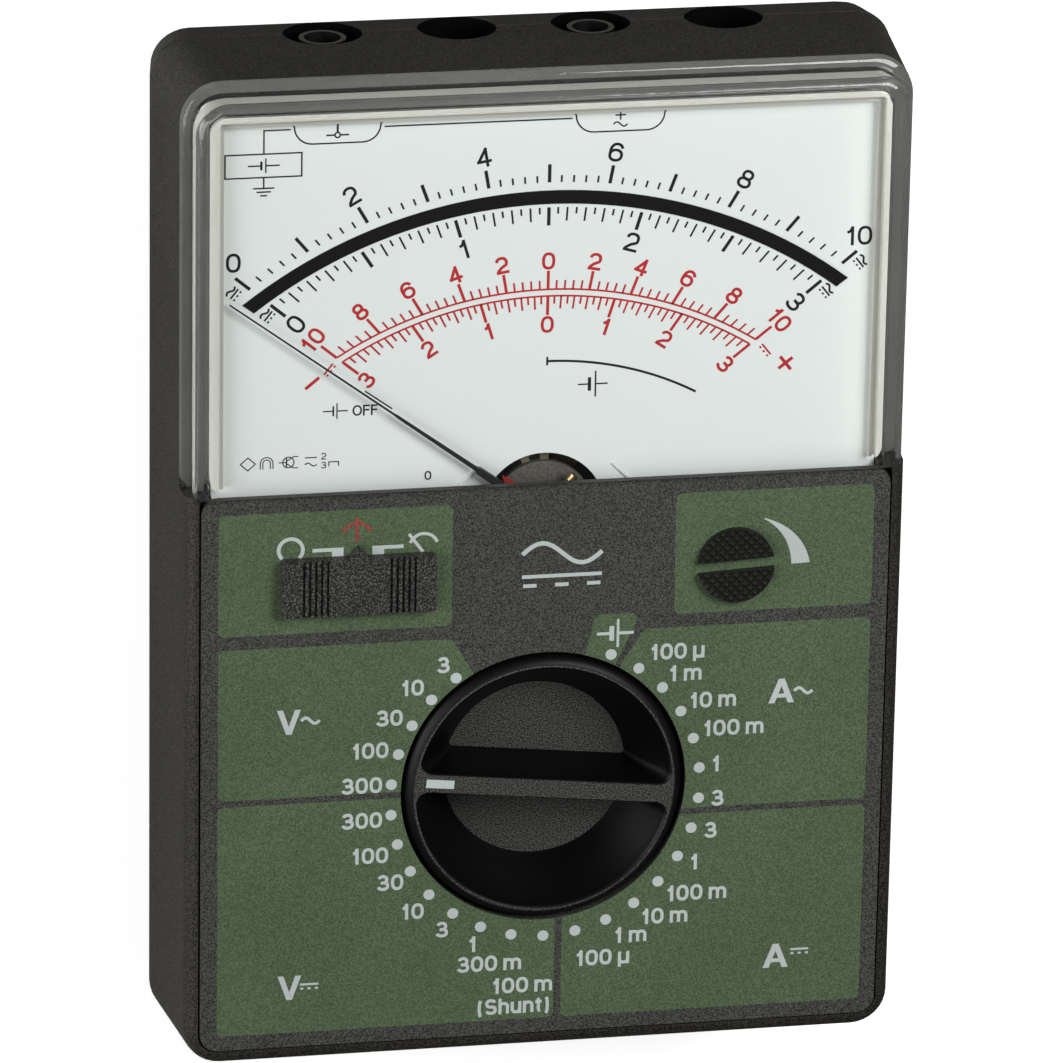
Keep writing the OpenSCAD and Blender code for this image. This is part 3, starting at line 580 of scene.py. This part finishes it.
def fillet(points, r, n=6):
    """Rounds every corner of a polygon; a point may carry its own radius as a third number."""
    out = []
    for i, p in enumerate(points):
        own = p[2] if len(p) > 2 else r
        here, a, b = Vector(p[:2]), Vector(points[i - 1][:2]), Vector(points[(i + 1) % len(points)][:2])
        if own <= 0:
            out.append(tuple(here))
            continue
        u, v = (a - here).normalized(), (b - here).normalized()
        half = u.angle(v) / 2
        centre = here + (u + v).normalized() * (own / math.sin(half))
        start, end = here + u * (own / math.tan(half)), here + v * (own / math.tan(half))
        a0 = math.atan2(*(start - centre).yx)
        sweep = math.atan2(*(end - centre).yx) - a0
        sweep -= math.tau * round(sweep / math.tau)
        out += [tuple(centre + own * Vector((math.cos(a0 + sweep * t / n), math.sin(a0 + sweep * t / n))))
                for t in range(n + 1)]
    return out


def outside_circle(points, r, centre, step=0.4):
    """Pushes the part of an outline that runs inside a circle out to the circle."""
    out, c = [], Vector(centre)
    for i, p in enumerate(points):
        a, b = Vector(p), Vector(points[(i + 1) % len(points)])
        n = max(1, math.ceil((b - a).length / step)) if min((a - c).length, (b - c).length) < r + 12 else 1
        for t in range(n):
            q = a.lerp(b, t / n)
            if (q - c).length < r:
                q = c + (q - c).normalized() * r
            out.append(tuple(q))
    return out


# ---------- panel print ----------

INK = 0.03
FIELD = Ink(PANEL_TOP - INK, PANEL_TOP + INK)
LABEL = Ink(PANEL_TOP - INK, PANEL_TOP + 2 * INK)
LABEL_RED = Ink(PANEL_TOP - INK, PANEL_TOP + 2 * INK)

FIELD_R = 0.9
# radius and centre, measured from the print's origin, of the circle that the fields leave free
KNOB_HOLE = (KNOB_R + 0.3, -PRINT + Vector((0.0, KNOB_Y)))
LEFT, RIGHT, FOOT = -44.45, 43.95, -33.2
FIELDS = {
    "switch": [(LEFT, 24.6), (-13.1, 24.6), (-13.1, 41.8), (LEFT, 41.8)],
    "adjuster": [(17.0, 24.6), (RIGHT, 24.6), (RIGHT, 41.8), (17.0, 41.8)],
    "volts_ac": [(LEFT, 22.7), (LEFT, 1.1), (-16, 1.1, 0), (-8, 8, 0), (-10.1, 17.7, 0), (-13.0, 22.7)],
    "volts_dc": [(LEFT, 0.2), (LEFT, FOOT), (1.6, FOOT), (1.6, -16, 0), (-9, -9, 0), (-16, 0.2, 0)],
    "amps_dc": [(2.55, FOOT), (RIGHT, FOOT), (RIGHT, -4.5), (16, -4.5, 0), (9, -9, 0), (2.55, -16, 0)],
    "amps_ac": [(RIGHT, -3.6), (RIGHT, 22.7), (13.0, 22.7), (10.0, 17.8, 0), (8, 8, 0), (16, -3.6, 0)],
    "battery": [(5.1, 19.6, 0), (6.4, 25.1), (12.5, 25.1), (9.2, 17.8, 0), (6, 12, 0), (4, 14, 0)],
}
FIELD.at(*PRINT)
for points in FIELDS.values():
    FIELD.poly(outside_circle(fillet(points, FIELD_R), *KNOB_HOLE))

LABEL.at(*PRINT)
# one dot for each setting of the knob
DOTS, DOT_STEP, FIRST_DOT = 26, 12, 66
DOT_R, DOT_AT = 0.76, 21.1
for i in range(DOTS):
    a = math.radians(FIRST_DOT - DOT_STEP * i)
    LABEL.disc(DOT_AT * math.cos(a), DOT_AT * math.sin(a), DOT_R)

# each label: words, direction from the knob's axis in degrees, distance from it
LABELS = [
    ("3", 126.6, 23.7), ("10", 138.8, 24.3), ("30", 151, 24.4), ("100", 163.1, 25), ("300", 174.8, 25.1),
    ("300", -173.6, 25.1), ("100", -161.5, 25.1), ("30", -150.2, 24.2), ("10", -137.5, 24.3),
    ("3", -125.6, 23.8),
    ("1", -113.9, 23.8), ("300 m", -106.5, 25.8), ("100 m", -95.6, 28.3),
    ("100 µ", 47.6, 26.1), ("1 m", 40.6, 24.7), ("10 m", 28, 25.6), ("100 m", 17.1, 26.7), ("1", 6.5, 23.4),
    ("3", -5.7, 23.7), ("3", -17.1, 23.8), ("1", -29.2, 23.6), ("100 m", -37.3, 26.4), ("10 m", -49, 25.4),
    ("1 m", -61, 24.8), ("100 µ", -71.6, 26.1),
]
LABEL_H, LABEL_WEIGHT = 2.3, 0.19
for words, direction, distance in LABELS:
    a = math.radians(direction)
    LABEL.at(PRINT.x + distance * math.cos(a), PRINT.y + distance * math.sin(a))
    LABEL.text(words, LABEL_H, LABEL_WEIGHT)
LABEL.at(PRINT.x - 3.9, PRINT.y - 31.2).text("(Shunt)", LABEL_H, LABEL_WEIGHT)

BIG_H = 3.5


def tilde(ink, x, y, half, lift, width):
    ink.stroke([(x + half * (t / 8 - 1), y + lift * math.sin(math.pi * t / 8)) for t in range(17)], width)


def direct_bars(ink, x, y, half, width, drop):
    ink.rect(x - half, y - width / 2, x + half, y + width / 2)
    dash = 2 * half / 5
    for i in (-1, 0, 1):
        ink.rect(x + 2 * i * dash - dash * 0.42, y - drop - width / 2, x + 2 * i * dash + dash * 0.42,
                 y - drop + width / 2)


for letter, x, y in (("V", -34.9, 12.0), ("V", -34.6, -26.6), ("A", 32.0, 12.7), ("A", 32.2, -26.1)):
    LABEL.at(PRINT.x + x, PRINT.y + y).text(letter, BIG_H)
LABEL.at(*PRINT)
tilde(LABEL, -32.0, 12.1, 1.25, 0.42, 0.42)
tilde(LABEL, 35.0, 12.6, 1.25, 0.42, 0.42)
direct_bars(LABEL, -31.9, -26.2, 1.25, 0.3, 0.6)
direct_bars(LABEL, 35.5, -25.3, 1.25, 0.3, 0.6)


def cell_symbol(ink, x, y, half, tall, low, width, thick=0.65, thin=0.35, gap=0.35):
    """The battery sign: leads, a short thick plate and a tall thin one."""
    ink.rect(x - half, y - width / 2, x - gap / 2 - thick / 2, y + width / 2)
    ink.rect(x + gap / 2 + thin / 2, y - width / 2, x + half, y + width / 2)
    ink.rect(x - gap / 2 - thick, y - low, x - gap / 2, y + low)
    ink.rect(x + gap / 2, y - tall, x + gap / 2 + thin, y + tall)


cell_symbol(LABEL, 9.1, 22.3, 2.5, 2.0, 1.05, 0.42)

# wedge that widens towards "more", around the adjusting wheel
WEDGE_STEPS = 16
outer, inner = [], []
for i in range(WEDGE_STEPS + 1):
    t = i / WEDGE_STEPS
    for side, start, bend, end in ((outer, (28.4, 37.9), (34.35, 36.2), (35.35, 31.05)),
                                   (inner, (28.4, 37.9), (32.65, 35.7), (32.85, 30.95))):
        side.append(tuple((1 - t) ** 2 * start[k] + 2 * t * (1 - t) * bend[k] + t * t * end[k]
                          for k in (0, 1)))
LABEL.strip(outer[1:], inner[1:])

# signs above the function slider: ring, step, step, gauge; the red sign stands over the middle
LABEL.arc(-34.8, 36.5, 1.62, -45, 225, 0.5)
LABEL.stroke([(-31.9, 36.3), (-28.5, 36.3)], 0.5)
LABEL.rect(-29.3, 35.3, -27.75, 36.55)
LABEL.rect(-23.9, 35.3, -22.3, 36.55)
LABEL.stroke([(-23.5, 36.3), (-19.7, 36.3)], 0.5)
LABEL.arc(-17.0, 36.03, 1.92, 20, 160, 0.42)
LABEL.stroke([(-19.0, 38.0), (-17.1, 35.4)], 0.42)
LABEL_RED.at(*PRINT)
LABEL_RED.stroke([(-25.95, 37.3), (-25.95, 40.7)], 0.42)
LABEL_RED.arc(-25.95, 37.8, 2.06, 27, 154, 0.42)

# a plain sign for both kinds of current where a maker would print a name
tilde(LABEL, 1.7, 34.2, 5.4, 1.5, 0.6)
direct_bars(LABEL, 1.7, 31.0, 5.4, 0.5, 1.3)

FIELD.done("panel_fields", M["green"])
LABEL.done("panel_labels", M["label"])
LABEL_RED.done("panel_label_red", M["label_red"])


# ---------- dial print ----------

DIAL = Ink(DIAL_FACE - 0.01, DIAL_FACE + 0.02)
DIAL_RED = Ink(DIAL_FACE - 0.01, DIAL_FACE + 0.02)


def on_arc(angle, r):
    """Point in the direction of the pivot angle whose distance from the arcs' centre is r."""
    d = Vector((math.cos(math.radians(angle)), math.sin(math.radians(angle))))
    m = PIVOT - ARC_CENTRE
    along = -m.dot(d) + math.sqrt(m.dot(d) ** 2 - m.length_squared + r * r)
    return PIVOT + d * along


def ticks(ink, count, angle_of, kinds):
    """kinds: function of the tick's number giving (start radius, end radius, width)."""
    for i in range(count):
        a = angle_of(i)
        r0, r1, width = kinds(i)
        ink.stroke([on_arc(a, r0), on_arc(a, r1)], width)


MIRROR_OUT, MIRROR_IN = 65.56, 63.70
FULL = 100.3
START = 140.05
# the red scale is a little wider and set over to the right
RED_FULL = 101.5
RED_START = 140.5
RED_UP, RED_LOW = 51.8, 50.87
THIN, THICK = 0.25, 0.45

ticks(DIAL, 51, lambda i: START - FULL * i / 50,
      lambda i: (MIRROR_OUT + 1.1, MIRROR_OUT + (3.6 if i % 5 == 0 else 2.05),
                 THICK if i % 5 == 0 else THIN))
ticks(DIAL, 61, lambda i: START - FULL * i / 60,
      lambda i: (MIRROR_IN - 0.5, MIRROR_IN - (3.0 if i % 10 == 0 else 2.4 if i % 2 == 0 else 1.4),
                 THICK if i % 10 == 0 else THIN))
ticks(DIAL_RED, 51, lambda i: RED_START - RED_FULL * i / 50,
      lambda i: (RED_UP, RED_UP + (2.6 if i % 5 == 0 else 1.25), THICK * 0.85 if i % 5 == 0 else THIN))
ticks(DIAL_RED, 61, lambda i: RED_START - RED_FULL * i / 60,
      lambda i: (RED_LOW, RED_LOW - (2.65 if i % 10 == 0 else 1.8 if i % 2 == 0 else 1.1),
                 THICK * 0.85 if i % 10 == 0 else THIN))
for r in (RED_UP, RED_LOW):
    DIAL_RED.stroke([on_arc(RED_START - RED_FULL * i / 120, r) for i in range(121)], THIN)
DIAL.stroke([on_arc(89.5 - 51.4 * i / 48, 41.75) for i in range(49)], 0.32)
DIAL.stroke([(0.2, 29.6 - 0.6), (0.2, 29.6 + 0.6)], 0.25)


def numbers(ink, values, angle_of, r, height, weight, upright=()):
    for v in values:
        a = angle_of(v)
        p = on_arc(a, r)
        ink.at(p.x, p.y, 0 if v in upright else a - 90).text(str(abs(v)), height, weight)
    ink.at(0, 0)


# the outermost numbers stand upright, a little inside their marks
numbers(DIAL, (0, 2, 4, 6, 8, 10), lambda v: START - FULL * v / 10 + 1.55 * (v // 10) - 1.5 * (v == 0),
        71.0, 2.65, 0.145, upright=(0, 10))
numbers(DIAL, (0, 1, 2, 3), lambda v: START - FULL * v / 3, 58.95, 2.65, 0.145)
numbers(DIAL_RED, range(-10, 11, 2), lambda v: RED_START - RED_FULL * (v + 10) / 20, 55.75, 2.4, 0.165)
numbers(DIAL_RED, range(-3, 4), lambda v: RED_START - RED_FULL * (v + 3) / 6, 46.9, 2.35, 0.165)

# kind-of-current signs at the ends of the scales
for x, y, turn in ((-41.6, 41.0, 52), (-37.1, 37.7, 52), (42.1, 41.4, -52), (37.6, 37.6, -52)):
    DIAL.at(x, y, turn)
    tilde(DIAL, 0, 0.62, 0.85, 0.24, 0.27)
    direct_bars(DIAL, 0, 0.0, 0.85, 0.24, 0.5)
for x, y, turn in ((-28.9, 29.8, 52), (29.6, 29.7, -52)):
    direct_bars(DIAL_RED.at(x, y, turn), 0, 0.2, 0.95, 0.24, 0.45)
DIAL_RED.at(-31.2, 28.05, 40).rect(-1.2, -0.22, 1.2, 0.22)
DIAL_RED.at(32.4, 27.75, -52).rect(-1.2, -0.22, 1.2, 0.22)
DIAL_RED.rect(-0.22, 0.22, 0.22, 1.2).rect(-0.22, -1.2, 0.22, -0.22)

# battery test sign, the off mark and its line
DIAL.at(6.4, 26.1)
cell_symbol(DIAL, 0, 0, 2.0, 1.8, 0.95, 0.2, 0.42, 0.2, 0.5)
DIAL.at(-28.1, 24.0)
cell_symbol(DIAL, 0, 0, 1.65, 1.1, 0.7, 0.17, 0.22, 0.16, 0.3)
DIAL.at(-24.1, 23.95).text("OFF", 1.5, 0.15)
DIAL.at(0, 0).stroke([(-24.15, 26.6), (-20.5, 23.95)], 0.2)

# instrument signs along the bottom: magnet, diode bridge, kinds of current, flat position
DIAL.at(0, 0)
DIAL.stroke([(-40.7, 17.1), (-39.7, 18.0), (-38.7, 17.1), (-39.7, 16.2)], 0.14, closed=True)
for r in (0.85, 0.5):
    DIAL.stroke([(-37.2 - r, 16.3)] + [(-37.2 - r * math.cos(math.pi * i / 8),
                                        17.1 + r * math.sin(math.pi * i / 8)) for i in range(9)]
                + [(-37.2 + r, 16.3)], 0.13)
DIAL.ring(-34.3, 17.1, 0.75, 0.14, 20)
DIAL.stroke([(-35.6, 17.1), (-34.6, 17.1)], 0.14)
DIAL.stroke([(-34.55, 16.5), (-34.55, 17.7)], 0.16)
DIAL.stroke([(-34.5, 17.3), (-33.6, 17.9), (-33.0, 17.9)], 0.13)
DIAL.stroke([(-34.5, 16.9), (-33.6, 16.3), (-33.0, 16.3)], 0.13)
DIAL.rect(-32.1, 17.55, -30.5, 17.7)
tilde(DIAL, -31.3, 16.65, 0.8, 0.22, 0.15)
DIAL.at(-29.6, 17.75).text("2", 0.95, 0.13)
DIAL.at(-29.6, 16.5).text("3", 0.95, 0.13)
DIAL.at(0, 0).stroke([(-28.9, 16.3), (-28.9, 16.9), (-27.6, 16.9), (-27.6, 16.3)], 0.14)
DIAL.at(-15.6, 14.3).text("0", 1.25, 0.16)
DIAL.at(0, 0)

# socket plan along the top edge
for x, half in ((-28.1, 6.05), (9.4, 6.25)):
    top, low, r = 64.1, 61.2, 2.4
    DIAL.stroke([(x - half, top)] + [(x - half + 0.35 + r - r * math.cos(math.pi / 2 * i / 8),
                                      low + r - r * math.sin(math.pi / 2 * i / 8)) for i in range(9)]
                + [(x + half - 0.35 - r + r * math.sin(math.pi / 2 * i / 8),
                    low + r - r * math.cos(math.pi / 2 * i / 8)) for i in range(9)]
                + [(x + half, top)], 0.2)
DIAL.stroke([(-21.9, 63.2), (3.0, 63.2)], 0.2)
DIAL.stroke([(-34.3, 63.3), (-37.8, 63.3), (-37.8, 60.1)], 0.2)
DIAL.stroke([(-42.9, 60.1), (-32.8, 60.1), (-32.8, 56.9), (-42.9, 56.9)], 0.2, closed=True)
DIAL.stroke([(-37.8, 56.8), (-37.8, 55.5)], 0.2)
for half, y in ((1.4, 55.4), (0.95, 54.9), (0.45, 54.4)):
    DIAL.rect(-37.8 - half, y - 0.1, -37.8 + half, y + 0.1)
cell_symbol(DIAL.at(-37.8, 58.5), 0, 0, 2.1, 1.0, 0.6, 0.2, 0.3, 0.18, 0.35)
DIAL.at(-28.1, 62.3)
DIAL.ring(0, 0, 0.35, 0.2, 16).stroke([(0, 0.45), (0, 1.8)], 0.26)
DIAL.rect(-1.5, -0.11, -0.45, 0.11).rect(0.45, -0.11, 1.5, 0.11)
DIAL.at(9.4, 63.4).rect(-0.7, -0.1, 0.7, 0.1).rect(-0.1, 0.1, 0.1, 0.65).rect(-0.1, -0.65, 0.1, -0.1)
tilde(DIAL, 0, -1.25, 0.95, 0.3, 0.2)

DIAL.done("dial_print", M["ink"])
DIAL_RED.done("dial_print_red", M["ink_red"])


# ---------- knob ----------

def boolean(target, *cutters):
    """Cuts closed meshes from an object and keeps only the result."""
    for c in cutters:
        m = target.modifiers.new("cut", "BOOLEAN")
        m.operation, m.solver, m.object = "DIFFERENCE", "EXACT", c
    me = bpy.data.meshes.new_from_object(target.evaluated_get(bpy.context.evaluated_depsgraph_get()))
    target.modifiers.clear()
    target.data = me
    for c in cutters:
        bpy.data.objects.remove(c)
    bm = bmesh.new()
    bm.from_mesh(me)
    bmesh.ops.remove_doubles(bm, verts=bm.verts, dist=2e-6)
    bmesh.ops.dissolve_degenerate(bm, edges=bm.edges, dist=2e-6)
    bm.to_mesh(me)
    bm.free()
    return me


def loft_mesh(levels):
    """Closed solid through outlines that all have the same number of points; each is (z, points)."""
    n = len(levels[0][1])
    verts = [(x, y, z) for z, points in levels for x, y in points]
    faces = [list(range(n - 1, -1, -1)), list(range(n * (len(levels) - 1), n * len(levels)))]
    for k in range(len(levels) - 1):
        faces += [[k * n + i, k * n + (i + 1) % n, (k + 1) * n + (i + 1) % n,
                   (k + 1) * n + i] for i in range(n)]
    return mesh_of(verts, faces)


def half_moon(r, bar, corner):
    """Half disc of radius r above y = bar with rounded corners, as 96 points."""
    cx = math.sqrt((r - corner) ** 2 - (bar + corner) ** 2)
    tip = math.atan2(bar + corner, cx)
    pts = []
    for i in range(24):
        pts.append((-cx + 2 * cx * i / 24, bar))
    for i in range(12):
        a = -math.pi / 2 + (tip + math.pi / 2) * i / 12
        pts.append((cx + corner * math.cos(a), bar + corner + corner * math.sin(a)))
    for i in range(48):
        a = tip + (math.pi - 2 * tip) * i / 48
        pts.append((r * math.cos(a), r * math.sin(a)))
    for i in range(12):
        a = math.pi - tip + (tip + math.pi / 2) * i / 12
        pts.append((-cx + corner * math.cos(a), bar + corner + corner * math.sin(a)))
    return pts


def turned(points, angle, y):
    c, s = math.cos(math.radians(angle)), math.sin(math.radians(angle))
    return [(c * px - s * py, y + s * px + c * py) for px, py in points]


def revolve_mesh(profile, y, n=144):
    """Closed solid turned about the vertical through (0, y); the profile starts and ends on the axis."""
    verts = [(0, y, profile[0][1]), (0, y, profile[-1][1])]
    rings = profile[1:-1]
    for r, z in rings:
        verts += [(r * math.cos(math.tau * i / n), y + r * math.sin(math.tau * i / n), z) for i in range(n)]
    faces = [[0, 2 + (i + 1) % n, 2 + i] for i in range(n)]
    for k in range(len(rings) - 1):
        a = 2 + k * n
        faces += [[a + i, a + (i + 1) % n, a + n + (i + 1) % n, a + n + i] for i in range(n)]
    last = 2 + (len(rings) - 1) * n
    faces += [[1, last + i, last + (i + 1) % n] for i in range(n)]
    return mesh_of(verts, faces)


# degrees that the grip bar is turned at rest
KNOB_TURN = -6
WELL_DEPTH = 7.8
KNOB_BOTTOM = 24.4
# the rim rolls over this far inward and this far down
ROLL_IN, ROLL_DOWN, ROLL_STEPS = 1.6, 2.3, 10
profile = [(0, KNOB_BOTTOM), (KNOB_R, KNOB_BOTTOM), (KNOB_R, KNOB_TOP - ROLL_DOWN)]
for i in range(1, ROLL_STEPS + 1):
    a = math.pi / 2 * i / ROLL_STEPS
    profile.append((KNOB_R - ROLL_IN * (1 - math.cos(a)), KNOB_TOP - ROLL_DOWN * (1 - math.sin(a))))
profile.append((0, KNOB_TOP))
knob = new_object("range_knob_body", revolve_mesh(profile, KNOB_Y), [M["knob"]], None)


def well_solid(angle):
    """Finger well: flared lip, walls that lean in, filleted floor."""
    levels = []
    for z, r, bar, corner in ((0.5, 17.7, 1.1, 1.9), (0.0, 17.5, 1.22, 1.75), (-0.12, 17.3, 1.36, 1.6),
                              (-0.4, 17.15, 1.46, 1.5), (-1.5, 16.65, 1.62, 1.4),
                              (-WELL_DEPTH * 0.5, 14.8, 2.0, 1.0),
                              (-WELL_DEPTH + 0.5, 12.75, 2.42, 0.6), (-WELL_DEPTH, 12.4, 2.55, 0.5)):
        levels.append((KNOB_TOP + z, turned(half_moon(r, bar, corner), angle, KNOB_Y)))
    return new_object("well", loft_mesh(levels), [M["knob"]], None)


boolean(knob, well_solid(KNOB_TURN), well_solid(KNOB_TURN + 180))
smooth_mesh(knob.data, 35)
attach(knob, "range_selector")
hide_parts("range_knob")


# ---------- window ----------

def round_rect(hx, y0, y1, r0, r1, n=10):
    """Outline with radius r0 at its lower corners and r1 at its upper ones."""
    pts = []
    for cx, cy, r, a0 in ((hx - r0, y0 + r0, r0, -90), (hx - r1, y1 - r1, r1, 0),
                          (-hx + r1, y1 - r1, r1, 90), (-hx + r0, y0 + r0, r0, 180)):
        pts += [(cx + r * math.cos(math.radians(a0 + 90 * i / n)),
                 cy + r * math.sin(math.radians(a0 + 90 * i / n))) for i in range(n + 1)]
    return pts


W_HALF, W_LOW, W_HIGH = WINDOW_HIGH[0], WINDOW_LOW[1], WINDOW_HIGH[1]
W_BASE, W_TOP = WINDOW_LOW[2], WINDOW_HIGH[2]
# width of the flange round the raised box, and the rounding of the box's rim
BOX_IN = 1.2
W_ROLL = 1.3


def window_solid():
    """Flange with rounded edges, and on it the raised box with a rolled rim."""
    levels = []
    for z, inset in ((0, 0.1), (0.1, 0), (1.0, 0.08), (1.35, 0.25), (1.55, 0.6), (1.62, BOX_IN)):
        levels.append((W_BASE + z,
                       round_rect(W_HALF - inset, W_LOW, W_HIGH - inset, max(0.6, 2.2 - inset),
                                  5.4 - inset)))
    for i in range(9):
        a = math.pi / 2 * i / 8
        back = W_ROLL * (1 - math.cos(a))
        levels.append((W_TOP - W_ROLL * (1 - math.sin(a)),
                       round_rect(W_HALF - BOX_IN - back, W_LOW + back, W_HIGH - BOX_IN - back, 0.6,
                                  4.4 - 0.8 * back)))
    return new_object("window_cover", loft_mesh(levels),
                      [M["glass"], M["pane"], M["window_end_shade"], M["seat"]], None)


def window_cavity():
    """The room inside, which reaches up to the level of the panel's top."""
    levels = [(W_BASE - 1, round_rect(45.9, W_LOW - 8, 66.9, 1, 2.8)),
              (PANEL_TOP - 0.4, round_rect(45.55, W_LOW - 8, 66.55, 1, 2.5)),
              (PANEL_TOP - 0.1, round_rect(45.4, W_LOW - 8, 66.4, 1, 2.4)),
              (PANEL_TOP, round_rect(45.1, W_LOW - 8, 66.1, 1, 2.2))]
    return new_object("cavity", loft_mesh(levels), [M["glass"]], None)


window = window_solid()
boolean(window, window_cavity())
smooth_mesh(window.data, 30)
GLASS, PANE, END_SHADE, SEAT = range(4)
for p in window.data.polygons:
    z, y, n = p.center.z / MM, p.center.y / MM, p.normal
    # painted shade on the clear end face
    if n.y < -0.2 and y < W_LOW + W_ROLL:
        p.material_index = END_SHADE if n.y < -0.95 else PANE
    elif abs(n.z) > 0.99 and z > PANEL_TOP - 0.05:
        p.material_index = PANE
    elif n.z < -0.9 and z < W_BASE + 0.3:
        p.material_index = SEAT
    else:
        p.material_index = GLASS
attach(window, "case")
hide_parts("window")


# ---------- painted shade: near-black liners on the inner walls of the four holes in the socket end ---

HOUSING = mm_box("socket_housing")
HOLE_Z = (mm_box("socket_collar_left")[0][2] + mm_box("socket_collar_left")[1][2]) / 2
HOLES_X = (-27, -9, 9, 27)
LINER_OUT, LINER_WALL = 5.27, 0.06
# from just clear of the socket housing to just short of the outer face
LINER_START, LINER_END = HOUSING[1][1] + 0.02, 69.75
liner_verts, liner_faces = [], []
for x in HOLES_X:
    k, n = len(liner_verts), 48
    for r, y in ((LINER_OUT, LINER_START), (LINER_OUT, LINER_END),
                 (LINER_OUT - LINER_WALL, LINER_END), (LINER_OUT - LINER_WALL, LINER_START)):
        liner_verts += [(x + r * math.cos(math.tau * i / n), y,
                         HOLE_Z + r * math.sin(math.tau * i / n)) for i in range(n)]
    for j in range(4):
        a, b = k + j * n, k + (j + 1) % 4 * n
        liner_faces += [[a + i, a + (i + 1) % n, b + (i + 1) % n, b + i] for i in range(n)]
# painted shade: a thin near-black tube inside each hole
shade_liners = new_object("hole_shade_liners", mesh_of(liner_verts, liner_faces), [M["well"]], "case")
smooth_mesh(shade_liners.data)


# ---------- floor, light, camera ----------

def floor_material():
    """White sheet, darker to everything but a direct look, so that little of it shines in the case's sides;
    painted light: lighter on the left, where the long side mirrors it."""
    s = Shader("floor")
    place = s.nodes.new("ShaderNodeSeparateXYZ")
    s.links.new(s.nodes.new("ShaderNodeNewGeometry").outputs["Position"], place.inputs[0])
    # painted light: the floor is lighter under the case's left side
    side = s.ramp(place.outputs["X"], -52 * MM, -44 * MM, 0.0, 1.0)
    s.color(s.mix(side, (0.42, 0.42, 0.41), (0.14, 0.14, 0.14)))
    s.set(rough=0.9, spec=0.0)
    seen = s.nodes.new("ShaderNodeLightPath").outputs["Is Camera Ray"]
    white = s.nodes.new("ShaderNodeBsdfPrincipled")
    white.inputs["Base Color"].default_value = (0.9, 0.9, 0.9, 1)
    white.inputs["Roughness"].default_value = 0.9
    white.inputs["Emission Color"].default_value = (1, 1, 1, 1)
    white.inputs["Emission Strength"].default_value = 0.62
    s.blend(white.outputs[0], seen)
    return s.mat


bpy.ops.mesh.primitive_grid_add(x_subdivisions=8, y_subdivisions=8, size=8, location=(0, 0, 0))
floor = bpy.context.object
floor.name = "floor"
floor.data.materials.append(floor_material())

world = bpy.data.worlds.new("studio")
bpy.context.scene.world = world
world.use_nodes = True
world.node_tree.nodes["Background"].inputs[0].default_value = (1.0, 1.0, 1.0, 1.0)
world.node_tree.nodes["Background"].inputs[1].default_value = 0.09


def softbox(name, place, size, watts, aim=(0, 0, 0)):
    light = bpy.data.lights.new(name, "AREA")
    light.shape, light.size, light.size_y, light.energy = "RECTANGLE", size[0], size[1], watts
    o = bpy.data.objects.new(name, light)
    o.location = place
    o.rotation_euler = (Vector(aim) - Vector(place)).to_track_quat("-Z", "Y").to_euler()
    bpy.context.scene.collection.objects.link(o)


softbox("key", (-1.3, 0.1, 0.95), (1.0, 1.4), 15.0)
softbox("top", (0.30, 0.30, 0.50), (0.3, 0.3), 3.0, (0.03, 0.03, 0.03))
softbox("side", (-1.1, 0.25, 0.16), (0.5, 0.24), 3.0)

camera = bpy.data.cameras.new("camera")
camera.sensor_width = 36
camera.lens = 297.2
camera.clip_end = 20
cam = bpy.data.objects.new("camera", camera)
# turns about X, Y and Z from the world's axes to the view's, whose Y points down and Z away
world_to_view = Euler([math.radians(a) for a in (-158.636, -10.083, -2.921)], "XYZ").to_matrix()
cam.matrix_world = (world_to_view.transposed() @ Matrix.Diagonal((1, -1, -1))).to_4x4()
cam.location = (-0.2058, 0.4241, 1.0992)
bpy.context.scene.collection.objects.link(cam)
bpy.context.scene.camera = cam
bpy.context.scene.view_settings.view_transform = "Standard"
